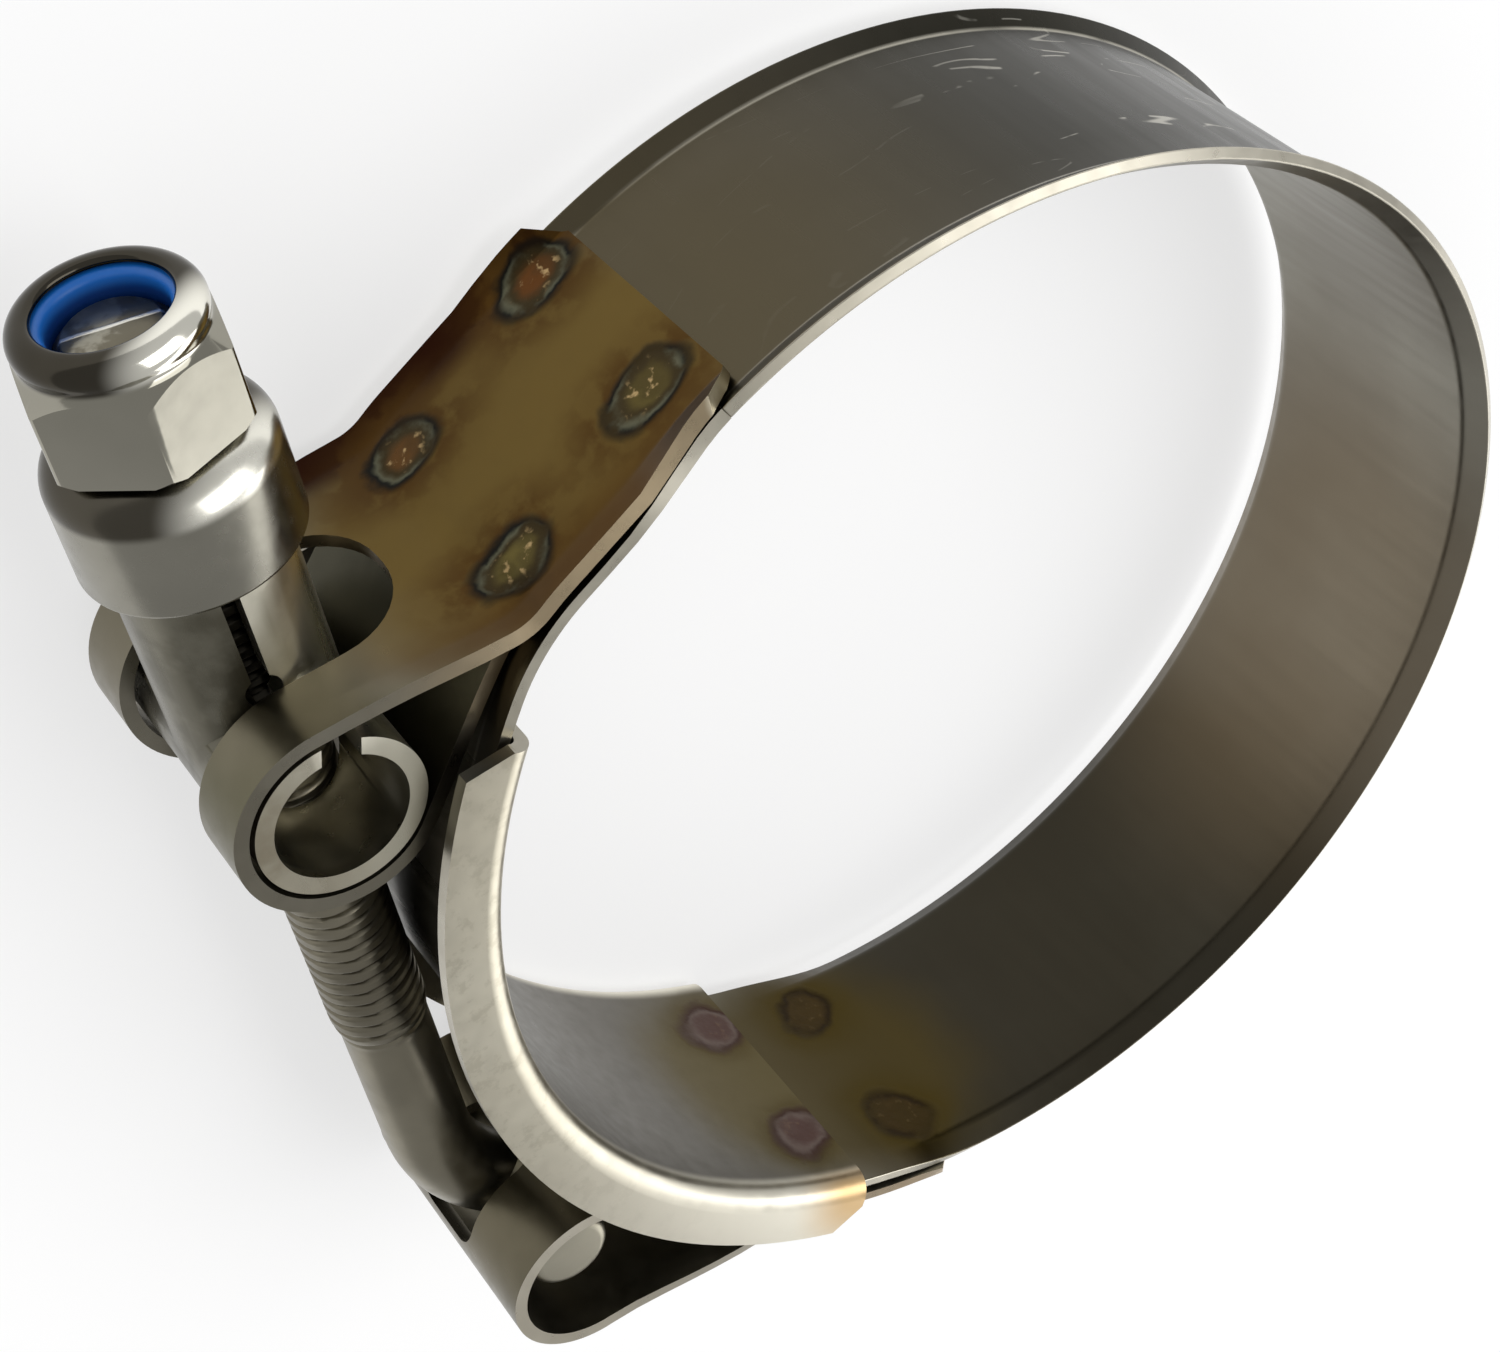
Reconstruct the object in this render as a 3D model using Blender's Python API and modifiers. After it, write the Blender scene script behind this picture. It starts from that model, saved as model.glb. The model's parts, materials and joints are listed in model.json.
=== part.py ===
"""T-bolt hose clamp: rolled band, bridge, two strap loops, trunnion, T-bolt, cap and lock nut.

The clamp is drawn in a plane seen along the hose: u runs along the bolt towards
the nut and n outward from the middle of the ring to the bolt. Ring angles are in
degrees from n towards u. Each strip is a flat blank bent along its path.
"""

import math

import bmesh
import bpy
from mathutils import Matrix, Vector

MM = 0.001

# Band: one strip rolled into the ring, its rims bent outward.
RING_INNER_RADIUS = 36.2 * MM
BAND_WIDTH = 20.0 * MM
BAND_THICKNESS = 0.7 * MM
BAND_LOWER_END = -43.0
FLARE_WIDTH = 1.6 * MM
FLARE_ANGLE = 34.0
FLARE_STARTS_ABOVE = (52.0, 66.0)
FLARE_STARTS_BELOW = (66.0, 80.0)
BAND_CORNER_CUT = 2.2 * MM

# Bridge: the channel that carries the hose across the gap; its outer part has its own centre.
BRIDGE_THICKNESS = 0.8 * MM
BRIDGE_OFFSET = 3.2 * MM
BRIDGE_OFFSET_ANGLE = -30.0
BRIDGE_LOWER_END = -61.5
BRIDGE_UPPER_END = 30.7
BRIDGE_UPPER_SLANT = 33.0
BRIDGE_LOWER_SLANT = 45.0
BRIDGE_LOWER_SLANT_HEIGHT = 2.3 * MM
FLANGE_HEIGHT = 4.0 * MM
FLANGE_BEND = 0.7 * MM
FLANGE_CLEARANCE = 0.4 * MM

# Shoulder: the bend that brings the band from the ring up on to the bridge.
SHOULDER_RADIUS = 13.0 * MM
SHOULDER_UPPER_ANGLE = 34.0
BAND_UPPER_END = -1.8

# Straps: one folded round the trunnion, one round the head of the bolt.
STRAP_THICKNESS = 0.85 * MM
STRAP_BEND = 4.0 * MM
LOOP_WIDTH = 18.2 * MM
INNER_LEG_WIDTH = 17.0 * MM
STRAP_CORNER_CUT = 2.3 * MM
UPPER_STRAP_END = 68.5
UPPER_INNER_LEG = 6.7
LOWER_STRAP_END = -77.0
LOWER_INNER_LEG = 3.9
SLOT_WIDTH = 10.0 * MM
SLOT_CORNER = 4.6 * MM
SLOT_BELOW_TRUNNION = 8.65 * MM
SLOT_BACK_BELOW_TRUNNION = 3.65 * MM
SHANK_SLOT_DIRECTION = 37.5
SHANK_SLOT_WIDTH = 6.4 * MM
SHANK_SLOT_LENGTH = 7.9 * MM
SHANK_SLOT_CORNER = 1.5 * MM

# Trunnion: a rolled cross tube whose two lips rise as half sleeves round the bolt.
TRUNNION_SHOULDER_SHARE = 0.4185
BOLT_OVER_BAND = 0.22 * MM
TRUNNION_RADIUS = 4.85 * MM
TRUNNION_BORE = 3.55 * MM
TRUNNION_SEAM = 2.2 * MM
TRUNNION_SEAM_ANGLE = 15.0
SLEEVE_RADIUS = 4.75 * MM
SLEEVE_BORE = 3.35 * MM
SLEEVE_SLIT = 1.0 * MM
SLEEVE_SLIT_PLACE = 0.45 * MM
SLIT_STARTS = 2.5 * MM

# T-bolt: a bent bolt whose cross bar lies in the lower loop.
THREAD_RADIUS = 2.95 * MM
SHANK_RADIUS = 2.675 * MM
BOLT_END = 26.3 * MM
THREAD_SHARE = 0.745
BOLT_BEND_RADIUS = 12.0 * MM
HEAD_ANGLE = -33.03
HEAD_OVER_BAND = 7.07 * MM
BOLT_CHAMFER = 0.5 * MM
HEAD_RADIUS = 2.75 * MM
HEAD_LENGTH = 16.0 * MM
HEAD_OFF_LOOP = 1.875 * MM
HEAD_OFF_LOOP_ANGLE = 22.0

# Cap that slides over the half sleeves, and the lock nut that bears on it.
CAP_RADIUS = 5.95 * MM
CAP_WALL = 0.85 * MM
CAP_TOP = 20.4 * MM
CAP_HEIGHT = 7.2 * MM
CAP_SHOULDER = 1.9 * MM
NUT_ACROSS_FLATS = 9.8 * MM
NUT_HEIGHT = 7.2 * MM
NUT_HEX_HEIGHT = 4.2 * MM
NUT_BASE_RADIUS = 5.26 * MM
NUT_COLLAR_RADIUS = 4.8 * MM
NUT_LIP_ROUND = 0.9 * MM
NUT_MOUTH_RADIUS = 3.4 * MM
NUT_POCKET_RADIUS = 4.15 * MM
NUT_TURN = -11.7
NYLON_DEPTH = 0.6 * MM
NYLON_HEIGHT = 1.7 * MM

# Spot welds show as shallow dents in the sheets.
WELD_RADIUS = 1.7 * MM
WELD_DEPTH = 0.2 * MM
WELD_SIDE = 5.8 * MM
SHOULDER_WELD_ANGLE = 58.0
STRAIGHT_WELD_AFTER = -0.4 * MM
BRIDGE_WELD_ANGLE = -58.8
BAND_WELD_ANGLE = -72.3

SHEET_GAP = 0.25 * MM
CLEARANCE = 0.3 * MM
CUT_REACH = 8.0 * MM
SLOT_CUT_HEIGHT = 24.0 * MM
CHORD_ERROR = 0.02 * MM
ROUND_STEPS = 48


def polar(centre, radius, angle):
    """Point on a circle round a centre, at a ring angle."""
    turn = math.radians(angle)
    return (centre[0] + radius * math.sin(turn), centre[1] + radius * math.cos(turn))


def bearing(a, b):
    """Heading from a to b in degrees, counted from u towards n."""
    return math.degrees(math.atan2(b[1] - a[1], b[0] - a[0]))


# Sizes and places that follow from the ones above.
RING = (0.0, 0.0)
BAND_MID = RING_INNER_RADIUS + BAND_THICKNESS / 2
OUTER_BAND_MID = BAND_MID + BRIDGE_OFFSET
BRIDGE_CENTRE = polar(RING, -BRIDGE_OFFSET, BRIDGE_OFFSET_ANGLE)
BRIDGE_MID = RING_INNER_RADIUS - SHEET_GAP - BRIDGE_THICKNESS / 2
SHOULDER = polar(BRIDGE_CENTRE, OUTER_BAND_MID - SHOULDER_RADIUS, SHOULDER_UPPER_ANGLE)
SHOULDER_AWAY = math.hypot(*SHOULDER)
SHOULDER_START = (90.0 - bearing(RING, SHOULDER)
                  + math.degrees(math.acos((BAND_MID - SHOULDER_RADIUS) / SHOULDER_AWAY)))
SHOULDER_RUN = math.sqrt(SHOULDER_AWAY ** 2 - (BAND_MID - SHOULDER_RADIUS) ** 2)
TRUNNION_PLACE = (SHOULDER[0] + TRUNNION_SHOULDER_SHARE * SHOULDER_RADIUS,
                  BRIDGE_CENTRE[1] + OUTER_BAND_MID + BAND_THICKNESS / 2 + BOLT_OVER_BAND + THREAD_RADIUS)
STRAP_LIFT = BAND_THICKNESS / 2 + SHEET_GAP + STRAP_THICKNESS / 2
UPPER_LOOP_MID = TRUNNION_RADIUS + CLEARANCE + STRAP_THICKNESS / 2
LOWER_LOOP_MID = HEAD_OFF_LOOP + HEAD_RADIUS + CLEARANCE + STRAP_THICKNESS / 2
HEAD_PLACE = polar(RING, BAND_MID + HEAD_OVER_BAND, HEAD_ANGLE)
BOLT_BEND_TURN = math.degrees(math.acos(1 - (TRUNNION_PLACE[1] - HEAD_PLACE[1]) / BOLT_BEND_RADIUS))
BEND_BEHIND_TRUNNION = (TRUNNION_PLACE[0] - HEAD_PLACE[0]
                        - BOLT_BEND_RADIUS * math.sin(math.radians(BOLT_BEND_TURN)))
THREAD_BEHIND_TRUNNION = THREAD_SHARE * BEND_BEHIND_TRUNNION
LOOP_PLACE = polar(HEAD_PLACE, HEAD_OFF_LOOP, 270.0 - HEAD_OFF_LOOP_ANGLE)
SLEEVE_LENGTH = CAP_TOP - CAP_SHOULDER - 2 * CLEARANCE
NUT_BASE = CAP_TOP + CLEARANCE
FLANGE_FACE = BAND_WIDTH / 2 + FLANGE_CLEARANCE + BRIDGE_THICKNESS
RIM_REACH = (BAND_MID + FLARE_WIDTH * math.sin(math.radians(FLARE_ANGLE))
             + BAND_THICKNESS / 2 * math.cos(math.radians(FLARE_ANGLE)))
TOP_REACH = TRUNNION_PLACE[1] + UPPER_LOOP_MID + STRAP_THICKNESS / 2
NUT_REACH = TRUNNION_PLACE[0] + NUT_BASE + NUT_HEIGHT
RING_CENTRE = Vector(((TOP_REACH - RIM_REACH) / 2, (RIM_REACH - NUT_REACH) / 2, FLANGE_FACE))


def place(u, n, z=0.0):
    """The clamp's plane in space: the bolt lies on the -X side and points along +Y."""
    return RING_CENTRE + Vector((-n, u, z))


def run(length):
    return (length, 0.0)


def bend(radius, turn):
    """A bend of some degrees; a turn to the left is positive."""
    return (radius * math.radians(abs(turn)), turn)


def walk(start, heading, moves):
    """Rows (u, n, heading) along a path of runs and bends."""
    u, n = start
    rows = [(u, n, heading)]
    for length, turn in moves:
        steps = 1
        if turn:
            radius = length / math.radians(abs(turn))
            facet = 2 * math.degrees(math.acos(1 - CHORD_ERROR / radius))
            steps = max(2, math.ceil(abs(turn) / facet))
        part = turn / steps
        chord = length / steps
        if turn:
            chord = 2 * radius * math.sin(math.radians(abs(part)) / 2)
        for _ in range(steps):
            middle = math.radians(heading + part / 2)
            u += chord * math.cos(middle)
            n += chord * math.sin(middle)
            heading += part
            rows.append((u, n, heading))
    return rows


def crossed_tangent(a, radius_a, b, radius_b, side):
    """Heading and length of the line that leaves circle a and joins circle b on its other side."""
    apart, reach = math.dist(a, b), radius_a + radius_b
    heading = bearing(a, b) + side * math.degrees(math.asin(reach / apart))
    return heading, math.sqrt(apart ** 2 - reach ** 2)


def ramp(value, low, high):
    t = min(max((value - low) / (high - low), 0.0), 1.0)
    return t * t * (3 - 2 * t)


def flare_share(u, n):
    """How far the rims are bent out at a point: fully round the ring, not at all by the bolt."""
    angle = math.degrees(math.atan2(u, n))
    if angle < 0:
        return ramp(-angle, *FLARE_STARTS_BELOW)
    return ramp(angle, *FLARE_STARTS_ABOVE)


def rim_section(half, lift, share):
    """(z, height) across a strip whose rims are bent out; lift keeps layers parallel."""
    angle = math.radians(FLARE_ANGLE) * share
    fold = half - FLARE_WIDTH - lift * math.tan(angle / 2)
    soft, length = FLARE_WIDTH / 4, half - fold
    points = [(fold - soft, 0.0), (fold, soft * math.sin(angle) / 4)]
    points += [(fold + reach * math.cos(angle), reach * math.sin(angle)) for reach in (soft, length)]
    return [(-z, height) for z, height in reversed(points)] + points


def material(name, colour, roughness, metallic):
    shader = bpy.data.materials.new(name)
    shader.use_nodes = True
    node = shader.node_tree.nodes["Principled BSDF"]
    node.inputs["Base Color"].default_value = (*colour, 1.0)
    node.inputs["Roughness"].default_value = roughness
    node.inputs["Metallic"].default_value = metallic
    shader.diffuse_color = (*colour, 1.0)
    return shader


def new_object(name, bm, collection, location):
    mesh = bpy.data.meshes.new(name)
    bm.to_mesh(mesh)
    bm.free()
    obj = bpy.data.objects.new(name, mesh)
    obj.location = location
    collection.objects.link(obj)
    return obj


def strip(name, rows, section, thickness, side, parts):
    """A grid laid along a path, one section per row, then thickened."""
    bm = bmesh.new()
    columns = len(section(0.0, *rows[0][:2]))
    bmesh.ops.create_grid(bm, x_segments=len(rows) - 1, y_segments=columns - 1, size=1.0)
    distances = [0.0]
    for a, b in zip(rows, rows[1:]):
        distances.append(distances[-1] + math.dist(a[:2], b[:2]))
    for vert in bm.verts:
        index = round((vert.co.x + 1) / 2 * (len(rows) - 1))
        u, n, heading = rows[index]
        z, height = section(distances[index], u, n)[round((vert.co.y + 1) / 2 * (columns - 1))]
        away = math.radians(heading - 90.0 * side)
        vert.co = place(u + height * math.cos(away), n + height * math.sin(away), z) - RING_CENTRE
    obj = new_object(name, bm, parts, RING_CENTRE)
    sheet = obj.modifiers.new("sheet", "SOLIDIFY")
    sheet.thickness = thickness
    sheet.offset = 0.0
    sheet.use_even_offset = True
    return obj


def outward_turn(angle):
    """Turn about Z that brings an object's +X to the outward direction at a ring angle."""
    return math.radians(180.0 - angle)


def box(name, centre, size, cutters, turn=(0.0, 0.0, 0.0), round_axis=None, radius=0.0):
    bm = bmesh.new()
    bmesh.ops.create_cube(bm, size=1.0)
    bmesh.ops.scale(bm, vec=Vector(size), verts=bm.verts)
    if round_axis is not None:
        long = size[round_axis] / 2
        edges = [e for e in bm.edges if abs((e.verts[0].co - e.verts[1].co)[round_axis]) > long]
        bmesh.ops.bevel(bm, geom=edges, offset=radius, segments=5, profile=0.5, affect="EDGES")
    obj = new_object(name, bm, cutters, centre)
    obj.rotation_euler = turn
    return obj


def cylinder(name, radius, length, centre, axis, collection, segments=ROUND_STEPS):
    bm = bmesh.new()
    turn = Vector((0, 0, 1)).rotation_difference(Vector(axis)).to_matrix().to_4x4()
    bmesh.ops.create_cone(bm, cap_ends=True, segments=segments, radius1=radius, radius2=radius,
                          depth=length, matrix=turn)
    return new_object(name, bm, collection, centre)


def dent(name, point, angle, z, side, cutters):
    """A flat ball that presses a weld's dent into a sheet from outside (side 1) or inside (-1)."""
    high = 2.5 * WELD_DEPTH
    wide = WELD_RADIUS / math.sqrt(1 - ((high - WELD_DEPTH) / high) ** 2)
    bm = bmesh.new()
    bmesh.ops.create_uvsphere(bm, u_segments=20, v_segments=12, radius=1.0)
    bmesh.ops.rotate(bm, cent=(0, 0, 0), matrix=Matrix.Rotation(math.pi / 2, 3, "Y"), verts=bm.verts)
    bmesh.ops.scale(bm, vec=(high, wide, wide), verts=bm.verts)
    centre = polar(point, side * (high - WELD_DEPTH), angle)
    obj = new_object(name, bm, cutters, place(*centre, z))
    obj.rotation_euler.z = outward_turn(angle)
    return obj


def turned(name, profile, parts, location):
    """A closed profile of (radius, height) turned about the bolt."""
    bm = bmesh.new()
    verts = [bm.verts.new((radius, 0.0, height)) for radius, height in profile]
    for a, b in zip(verts, verts[1:] + verts[:1]):
        bm.edges.new((a, b))
    obj = new_object(name, bm, parts, location)
    obj.rotation_euler.x = -math.pi / 2
    spin = obj.modifiers.new("turn", "SCREW")
    spin.axis = "Z"
    spin.steps = spin.render_steps = ROUND_STEPS
    spin.use_merge_vertices = True
    spin.merge_threshold = 0.00001
    return obj


def quarter(centre, radius, start, end, steps=6):
    """Part of a circle in a profile, from one angle in degrees to another."""
    angles = [math.radians(start + (end - start) * i / steps) for i in range(steps + 1)]
    return [(centre[0] + radius * math.cos(a), centre[1] + radius * math.sin(a)) for a in angles]


def boolean(obj, cutter, operation="DIFFERENCE"):
    step = obj.modifiers.new(cutter.name, "BOOLEAN")
    step.operation = operation
    step.solver = "EXACT"
    step.object = cutter
    cutter.hide_render = True
    cutter.display_type = "WIRE"


def cut_corners(obj, point, angle, half_width, size, cutters):
    """Cut both corners off the end of a strip at 45 degrees."""
    for side in (-1, 1):
        corner = place(*point, side * half_width)
        turn = (math.pi / 4, 0.0, outward_turn(angle))
        cube = (CUT_REACH, size * math.sqrt(2), size * math.sqrt(2))
        boolean(obj, box(f"{obj.name}_corner_{side}", corner, cube, cutters, turn))


def slant_end(bridge, corner, end, slant, side, cutters):
    """Lean the end of the flanges back from a corner point; side 1 is the end towards u."""
    lean = end - side * slant
    middle = polar(polar(corner, CUT_REACH / 2, lean), CUT_REACH / 2, lean + side * 90.0)
    boolean(bridge, box(f"bridge_slant_{side}", place(*middle), (CUT_REACH, CUT_REACH, 4 * BAND_WIDTH),
                        cutters, (0.0, 0.0, outward_turn(lean))))


def make_band(parts, cutters):
    ring_turn = 360.0 + BAND_LOWER_END - SHOULDER_START
    rows = walk(polar(RING, BAND_MID, BAND_LOWER_END), 180.0 - BAND_LOWER_END,
                [bend(BAND_MID, ring_turn), run(SHOULDER_RUN),
                 bend(SHOULDER_RADIUS, SHOULDER_START - SHOULDER_UPPER_ANGLE),
                 bend(OUTER_BAND_MID, SHOULDER_UPPER_ANGLE - BAND_UPPER_END)])

    def section(distance, u, n):
        return rim_section(BAND_WIDTH / 2, 0.0, flare_share(u, n))

    band = strip("band", rows, section, BAND_THICKNESS, 1, parts)
    cut_corners(band, rows[-1][:2], BAND_UPPER_END, BAND_WIDTH / 2, BAND_CORNER_CUT, cutters)
    for side in (-1, 1):
        inner = polar(RING, RING_INNER_RADIUS, BAND_WELD_ANGLE)
        boolean(band, dent(f"band_dent_{side}", inner, BAND_WELD_ANGLE, side * WELD_SIDE, -1, cutters))
    return band


def make_bridge(parts, cutters):
    rows = walk(polar(RING, BRIDGE_MID, BRIDGE_LOWER_END), -BRIDGE_LOWER_END,
                [bend(BRIDGE_MID, BRIDGE_LOWER_END - BRIDGE_OFFSET_ANGLE),
                 bend(BRIDGE_MID + BRIDGE_OFFSET, BRIDGE_OFFSET_ANGLE - BRIDGE_UPPER_END)])
    wall = FLANGE_FACE - BRIDGE_THICKNESS / 2
    mid_bend = FLANGE_BEND + BRIDGE_THICKNESS / 2
    rim = quarter((wall - mid_bend, mid_bend), mid_bend, -90.0, 0.0, 3)
    rim += [(wall, FLANGE_HEIGHT - BRIDGE_THICKNESS / 2)]
    channel = [(-z, height) for z, height in reversed(rim)] + rim
    bridge = strip("bridge", rows, lambda distance, u, n: channel, BRIDGE_THICKNESS, -1, parts)
    above_web = BRIDGE_MID + BRIDGE_THICKNESS / 2 + FLANGE_BEND
    top = polar(BRIDGE_CENTRE, above_web + BRIDGE_OFFSET, BRIDGE_UPPER_END)
    slant_end(bridge, top, BRIDGE_UPPER_END, BRIDGE_UPPER_SLANT, 1, cutters)
    low = polar(RING, BRIDGE_MID + FLANGE_HEIGHT - BRIDGE_LOWER_SLANT_HEIGHT, BRIDGE_LOWER_END)
    slant_end(bridge, low, BRIDGE_LOWER_END, BRIDGE_LOWER_SLANT, -1, cutters)
    for side in (-1, 1):
        inner = polar(RING, BRIDGE_MID - BRIDGE_THICKNESS / 2, BRIDGE_WELD_ANGLE)
        boolean(bridge, dent(f"bridge_dent_{side}", inner, BRIDGE_WELD_ANGLE, side * WELD_SIDE, -1, cutters))
    return bridge


def strap_section(loop_starts, loop_ends):
    """Full width on the band, narrower round the loop, narrowest on the inner leg."""
    def section(distance, u, n):
        half = BAND_WIDTH / 2
        half -= (BAND_WIDTH - LOOP_WIDTH) / 2 * ramp(distance, 0.6 * loop_starts, loop_starts)
        half -= (LOOP_WIDTH - INNER_LEG_WIDTH) / 2 * ramp(distance, 0.8 * loop_ends, loop_ends)
        return rim_section(half, STRAP_LIFT, flare_share(u, n))
    return section


def make_upper_strap(parts, cutters):
    u, n = TRUNNION_PLACE
    shoulder_mid = SHOULDER_RADIUS + STRAP_LIFT
    foot = shoulder_mid + STRAP_BEND
    leaves = math.degrees(math.asin((u + UPPER_LOOP_MID + STRAP_BEND - SHOULDER[0]) / foot))
    rise = n - SHOULDER[1] - foot * math.cos(math.radians(leaves))
    heading, tangent = crossed_tangent(TRUNNION_PLACE, UPPER_LOOP_MID, SHOULDER, shoulder_mid, 1)
    around = bend(UPPER_LOOP_MID, 270.0 + heading)
    before = [bend(BAND_MID + STRAP_LIFT, UPPER_STRAP_END - SHOULDER_START), run(SHOULDER_RUN),
              bend(shoulder_mid, SHOULDER_START - leaves), bend(STRAP_BEND, leaves - 90.0), run(rise)]
    start = polar(RING, BAND_MID + STRAP_LIFT, UPPER_STRAP_END)
    rows = walk(start, 180.0 - UPPER_STRAP_END,
                before + [around, run(tangent), bend(shoulder_mid, -UPPER_INNER_LEG)])
    reached = sum(length for length, turn in before)
    section = strap_section(reached, reached + around[0] + tangent)
    strap = strip("upper_strap", rows, section, STRAP_THICKNESS, 1, parts)
    high = SLOT_CUT_HEIGHT
    leg = UPPER_LOOP_MID - STRAP_THICKNESS
    boolean(strap, box("leg_slot", place(u + leg + CUT_REACH / 2, n - SLOT_BELOW_TRUNNION + high / 2),
                       (high, CUT_REACH, SLOT_WIDTH), cutters, round_axis=1, radius=SLOT_CORNER))
    boolean(strap, box("loop_slot", place(u, n - SLOT_BACK_BELOW_TRUNNION + high / 2),
                       (high, high, SLOT_WIDTH), cutters, round_axis=1, radius=SLOT_CORNER))
    cut_corners(strap, start, UPPER_STRAP_END, BAND_WIDTH / 2, STRAP_CORNER_CUT, cutters)
    surface = STRAP_LIFT + STRAP_THICKNESS / 2
    near = polar(SHOULDER, SHOULDER_RADIUS + surface, SHOULDER_WELD_ANGLE)
    flat = polar(polar(RING, BAND_MID + surface, SHOULDER_START), STRAIGHT_WELD_AFTER, SHOULDER_START - 90.0)
    for side in (-1, 1):
        z = side * WELD_SIDE
        boolean(strap, dent(f"shoulder_dent_{side}", near, SHOULDER_WELD_ANGLE, z, 1, cutters))
        boolean(strap, dent(f"straight_dent_{side}", flat, SHOULDER_START, z, 1, cutters))
    return strap


def make_lower_strap(parts, cutters):
    u, n = LOOP_PLACE
    mid = BAND_MID + STRAP_LIFT
    foot = mid + STRAP_BEND
    leaves = math.degrees(math.asin((u - LOWER_LOOP_MID - STRAP_BEND) / foot))
    rise = n - foot * math.cos(math.radians(leaves))
    heading, tangent = crossed_tangent(LOOP_PLACE, LOWER_LOOP_MID, RING, mid, -1)
    around = bend(LOWER_LOOP_MID, heading - 90.0)
    before = [bend(mid, LOWER_STRAP_END - leaves), bend(STRAP_BEND, 90.0 + leaves), run(rise)]
    start = polar(RING, mid, LOWER_STRAP_END)
    rows = walk(start, -LOWER_STRAP_END, before + [around, run(tangent), bend(mid, LOWER_INNER_LEG)])
    reached = sum(length for length, turn in before)
    section = strap_section(reached, reached + around[0] + tangent)
    strap = strip("lower_strap", rows, section, STRAP_THICKNESS, -1, parts)
    towards = 90.0 - SHANK_SLOT_DIRECTION
    boolean(strap, box("shank_slot", place(*polar(LOOP_PLACE, CUT_REACH, towards)),
                       (CUT_REACH + SHANK_SLOT_CORNER, SHANK_SLOT_LENGTH, SHANK_SLOT_WIDTH), cutters,
                       (0.0, 0.0, outward_turn(towards)), round_axis=0, radius=SHANK_SLOT_CORNER))
    cut_corners(strap, start, LOWER_STRAP_END, BAND_WIDTH / 2, STRAP_CORNER_CUT, cutters)
    return strap


def make_trunnion(parts, cutters):
    centre = place(*TRUNNION_PLACE)
    trunnion = cylinder("trunnion", TRUNNION_RADIUS, LOOP_WIDTH, centre, (0, 0, 1), parts)
    half = Vector((0, SLEEVE_LENGTH / 2, 0))
    body = cylinder("sleeve_body", SLEEVE_RADIUS, SLEEVE_LENGTH, centre + half, (0, 1, 0), cutters)
    boolean(trunnion, body, "UNION")
    boolean(trunnion, cylinder("tube_bore", TRUNNION_BORE, 2 * LOOP_WIDTH, centre, (0, 0, 1), cutters))
    boolean(trunnion, cylinder("bolt_bore", SLEEVE_BORE, 4 * SLEEVE_LENGTH, centre, (0, 1, 0), cutters))
    beside = Vector((-SLEEVE_SLIT_PLACE, 0, 0))
    slit = box("sleeve_slit", centre + half + beside + Vector((0, SLIT_STARTS, 0)),
               (SLEEVE_SLIT, SLEEVE_LENGTH, 2 * SLEEVE_RADIUS + 2 * CLEARANCE), cutters)
    boolean(trunnion, slit)
    notch = Vector((0, TRUNNION_RADIUS + SLEEVE_SLIT, 0))
    boolean(trunnion, cylinder("slit_notch", SLEEVE_SLIT, LOOP_WIDTH, centre + notch + beside, (0, 0, 1),
                               cutters, segments=20))
    for side in (-1, 1):
        long = LOOP_WIDTH / 2
        away = polar(TRUNNION_PLACE, TRUNNION_RADIUS, 90.0 + TRUNNION_SEAM_ANGLE)
        z = side * (SLEEVE_RADIUS + CLEARANCE + long / 2)
        seam = (2 * TRUNNION_RADIUS, TRUNNION_SEAM, long)
        boolean(trunnion, box(f"tube_seam_{side}", place(*away, z), seam, cutters,
                              (0.0, 0.0, outward_turn(90.0 + TRUNNION_SEAM_ANGLE))))
    return trunnion


def make_bolt(parts, cutters):
    """The bent rod as a round curve, joined to the cross bar of the head."""
    rows = walk(HEAD_PLACE, BOLT_BEND_TURN,
                [bend(BOLT_BEND_RADIUS, -BOLT_BEND_TURN),
                 run(BEND_BEHIND_TRUNNION - THREAD_BEHIND_TRUNNION - SHANK_RADIUS), run(SHANK_RADIUS),
                 run(THREAD_BEHIND_TRUNNION + BOLT_END - BOLT_CHAMFER), run(BOLT_CHAMFER)])
    radii = [SHANK_RADIUS] * (len(rows) - 3) + [THREAD_RADIUS] * 2 + [THREAD_RADIUS - BOLT_CHAMFER]
    curve = bpy.data.curves.new("bolt_rod", "CURVE")
    curve.dimensions = "3D"
    curve.bevel_depth = 1.0
    curve.bevel_resolution = 6
    curve.use_fill_caps = True
    spline = curve.splines.new("POLY")
    spline.points.add(len(rows) - 1)
    for point, row, radius in zip(spline.points, rows, radii):
        point.co = (*(place(*row[:2]) - place(*HEAD_PLACE)), 1.0)
        point.radius = radius
    rod = bpy.data.objects.new("bolt_rod", curve)
    parts.objects.link(rod)
    mesh = bpy.data.meshes.new_from_object(rod.evaluated_get(bpy.context.evaluated_depsgraph_get()))
    bpy.data.objects.remove(rod)
    bm = bmesh.new()
    bm.from_mesh(mesh)
    bmesh.ops.remove_doubles(bm, verts=bm.verts, dist=0.00001)
    bmesh.ops.recalc_face_normals(bm, faces=bm.faces)
    bolt = new_object("t_bolt", bm, parts, place(*HEAD_PLACE))
    head = cylinder("head_bar", HEAD_RADIUS, HEAD_LENGTH, place(*HEAD_PLACE), (0, 0, 1), cutters, 32)
    ends = head.modifiers.new("round_ends", "BEVEL")
    ends.width = HEAD_RADIUS / 4
    ends.segments = 3
    ends.angle_limit = math.radians(50)
    boolean(bolt, head, "UNION")
    return bolt


def on_bolt(distance):
    return place(TRUNNION_PLACE[0] + distance, TRUNNION_PLACE[1])


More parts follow.
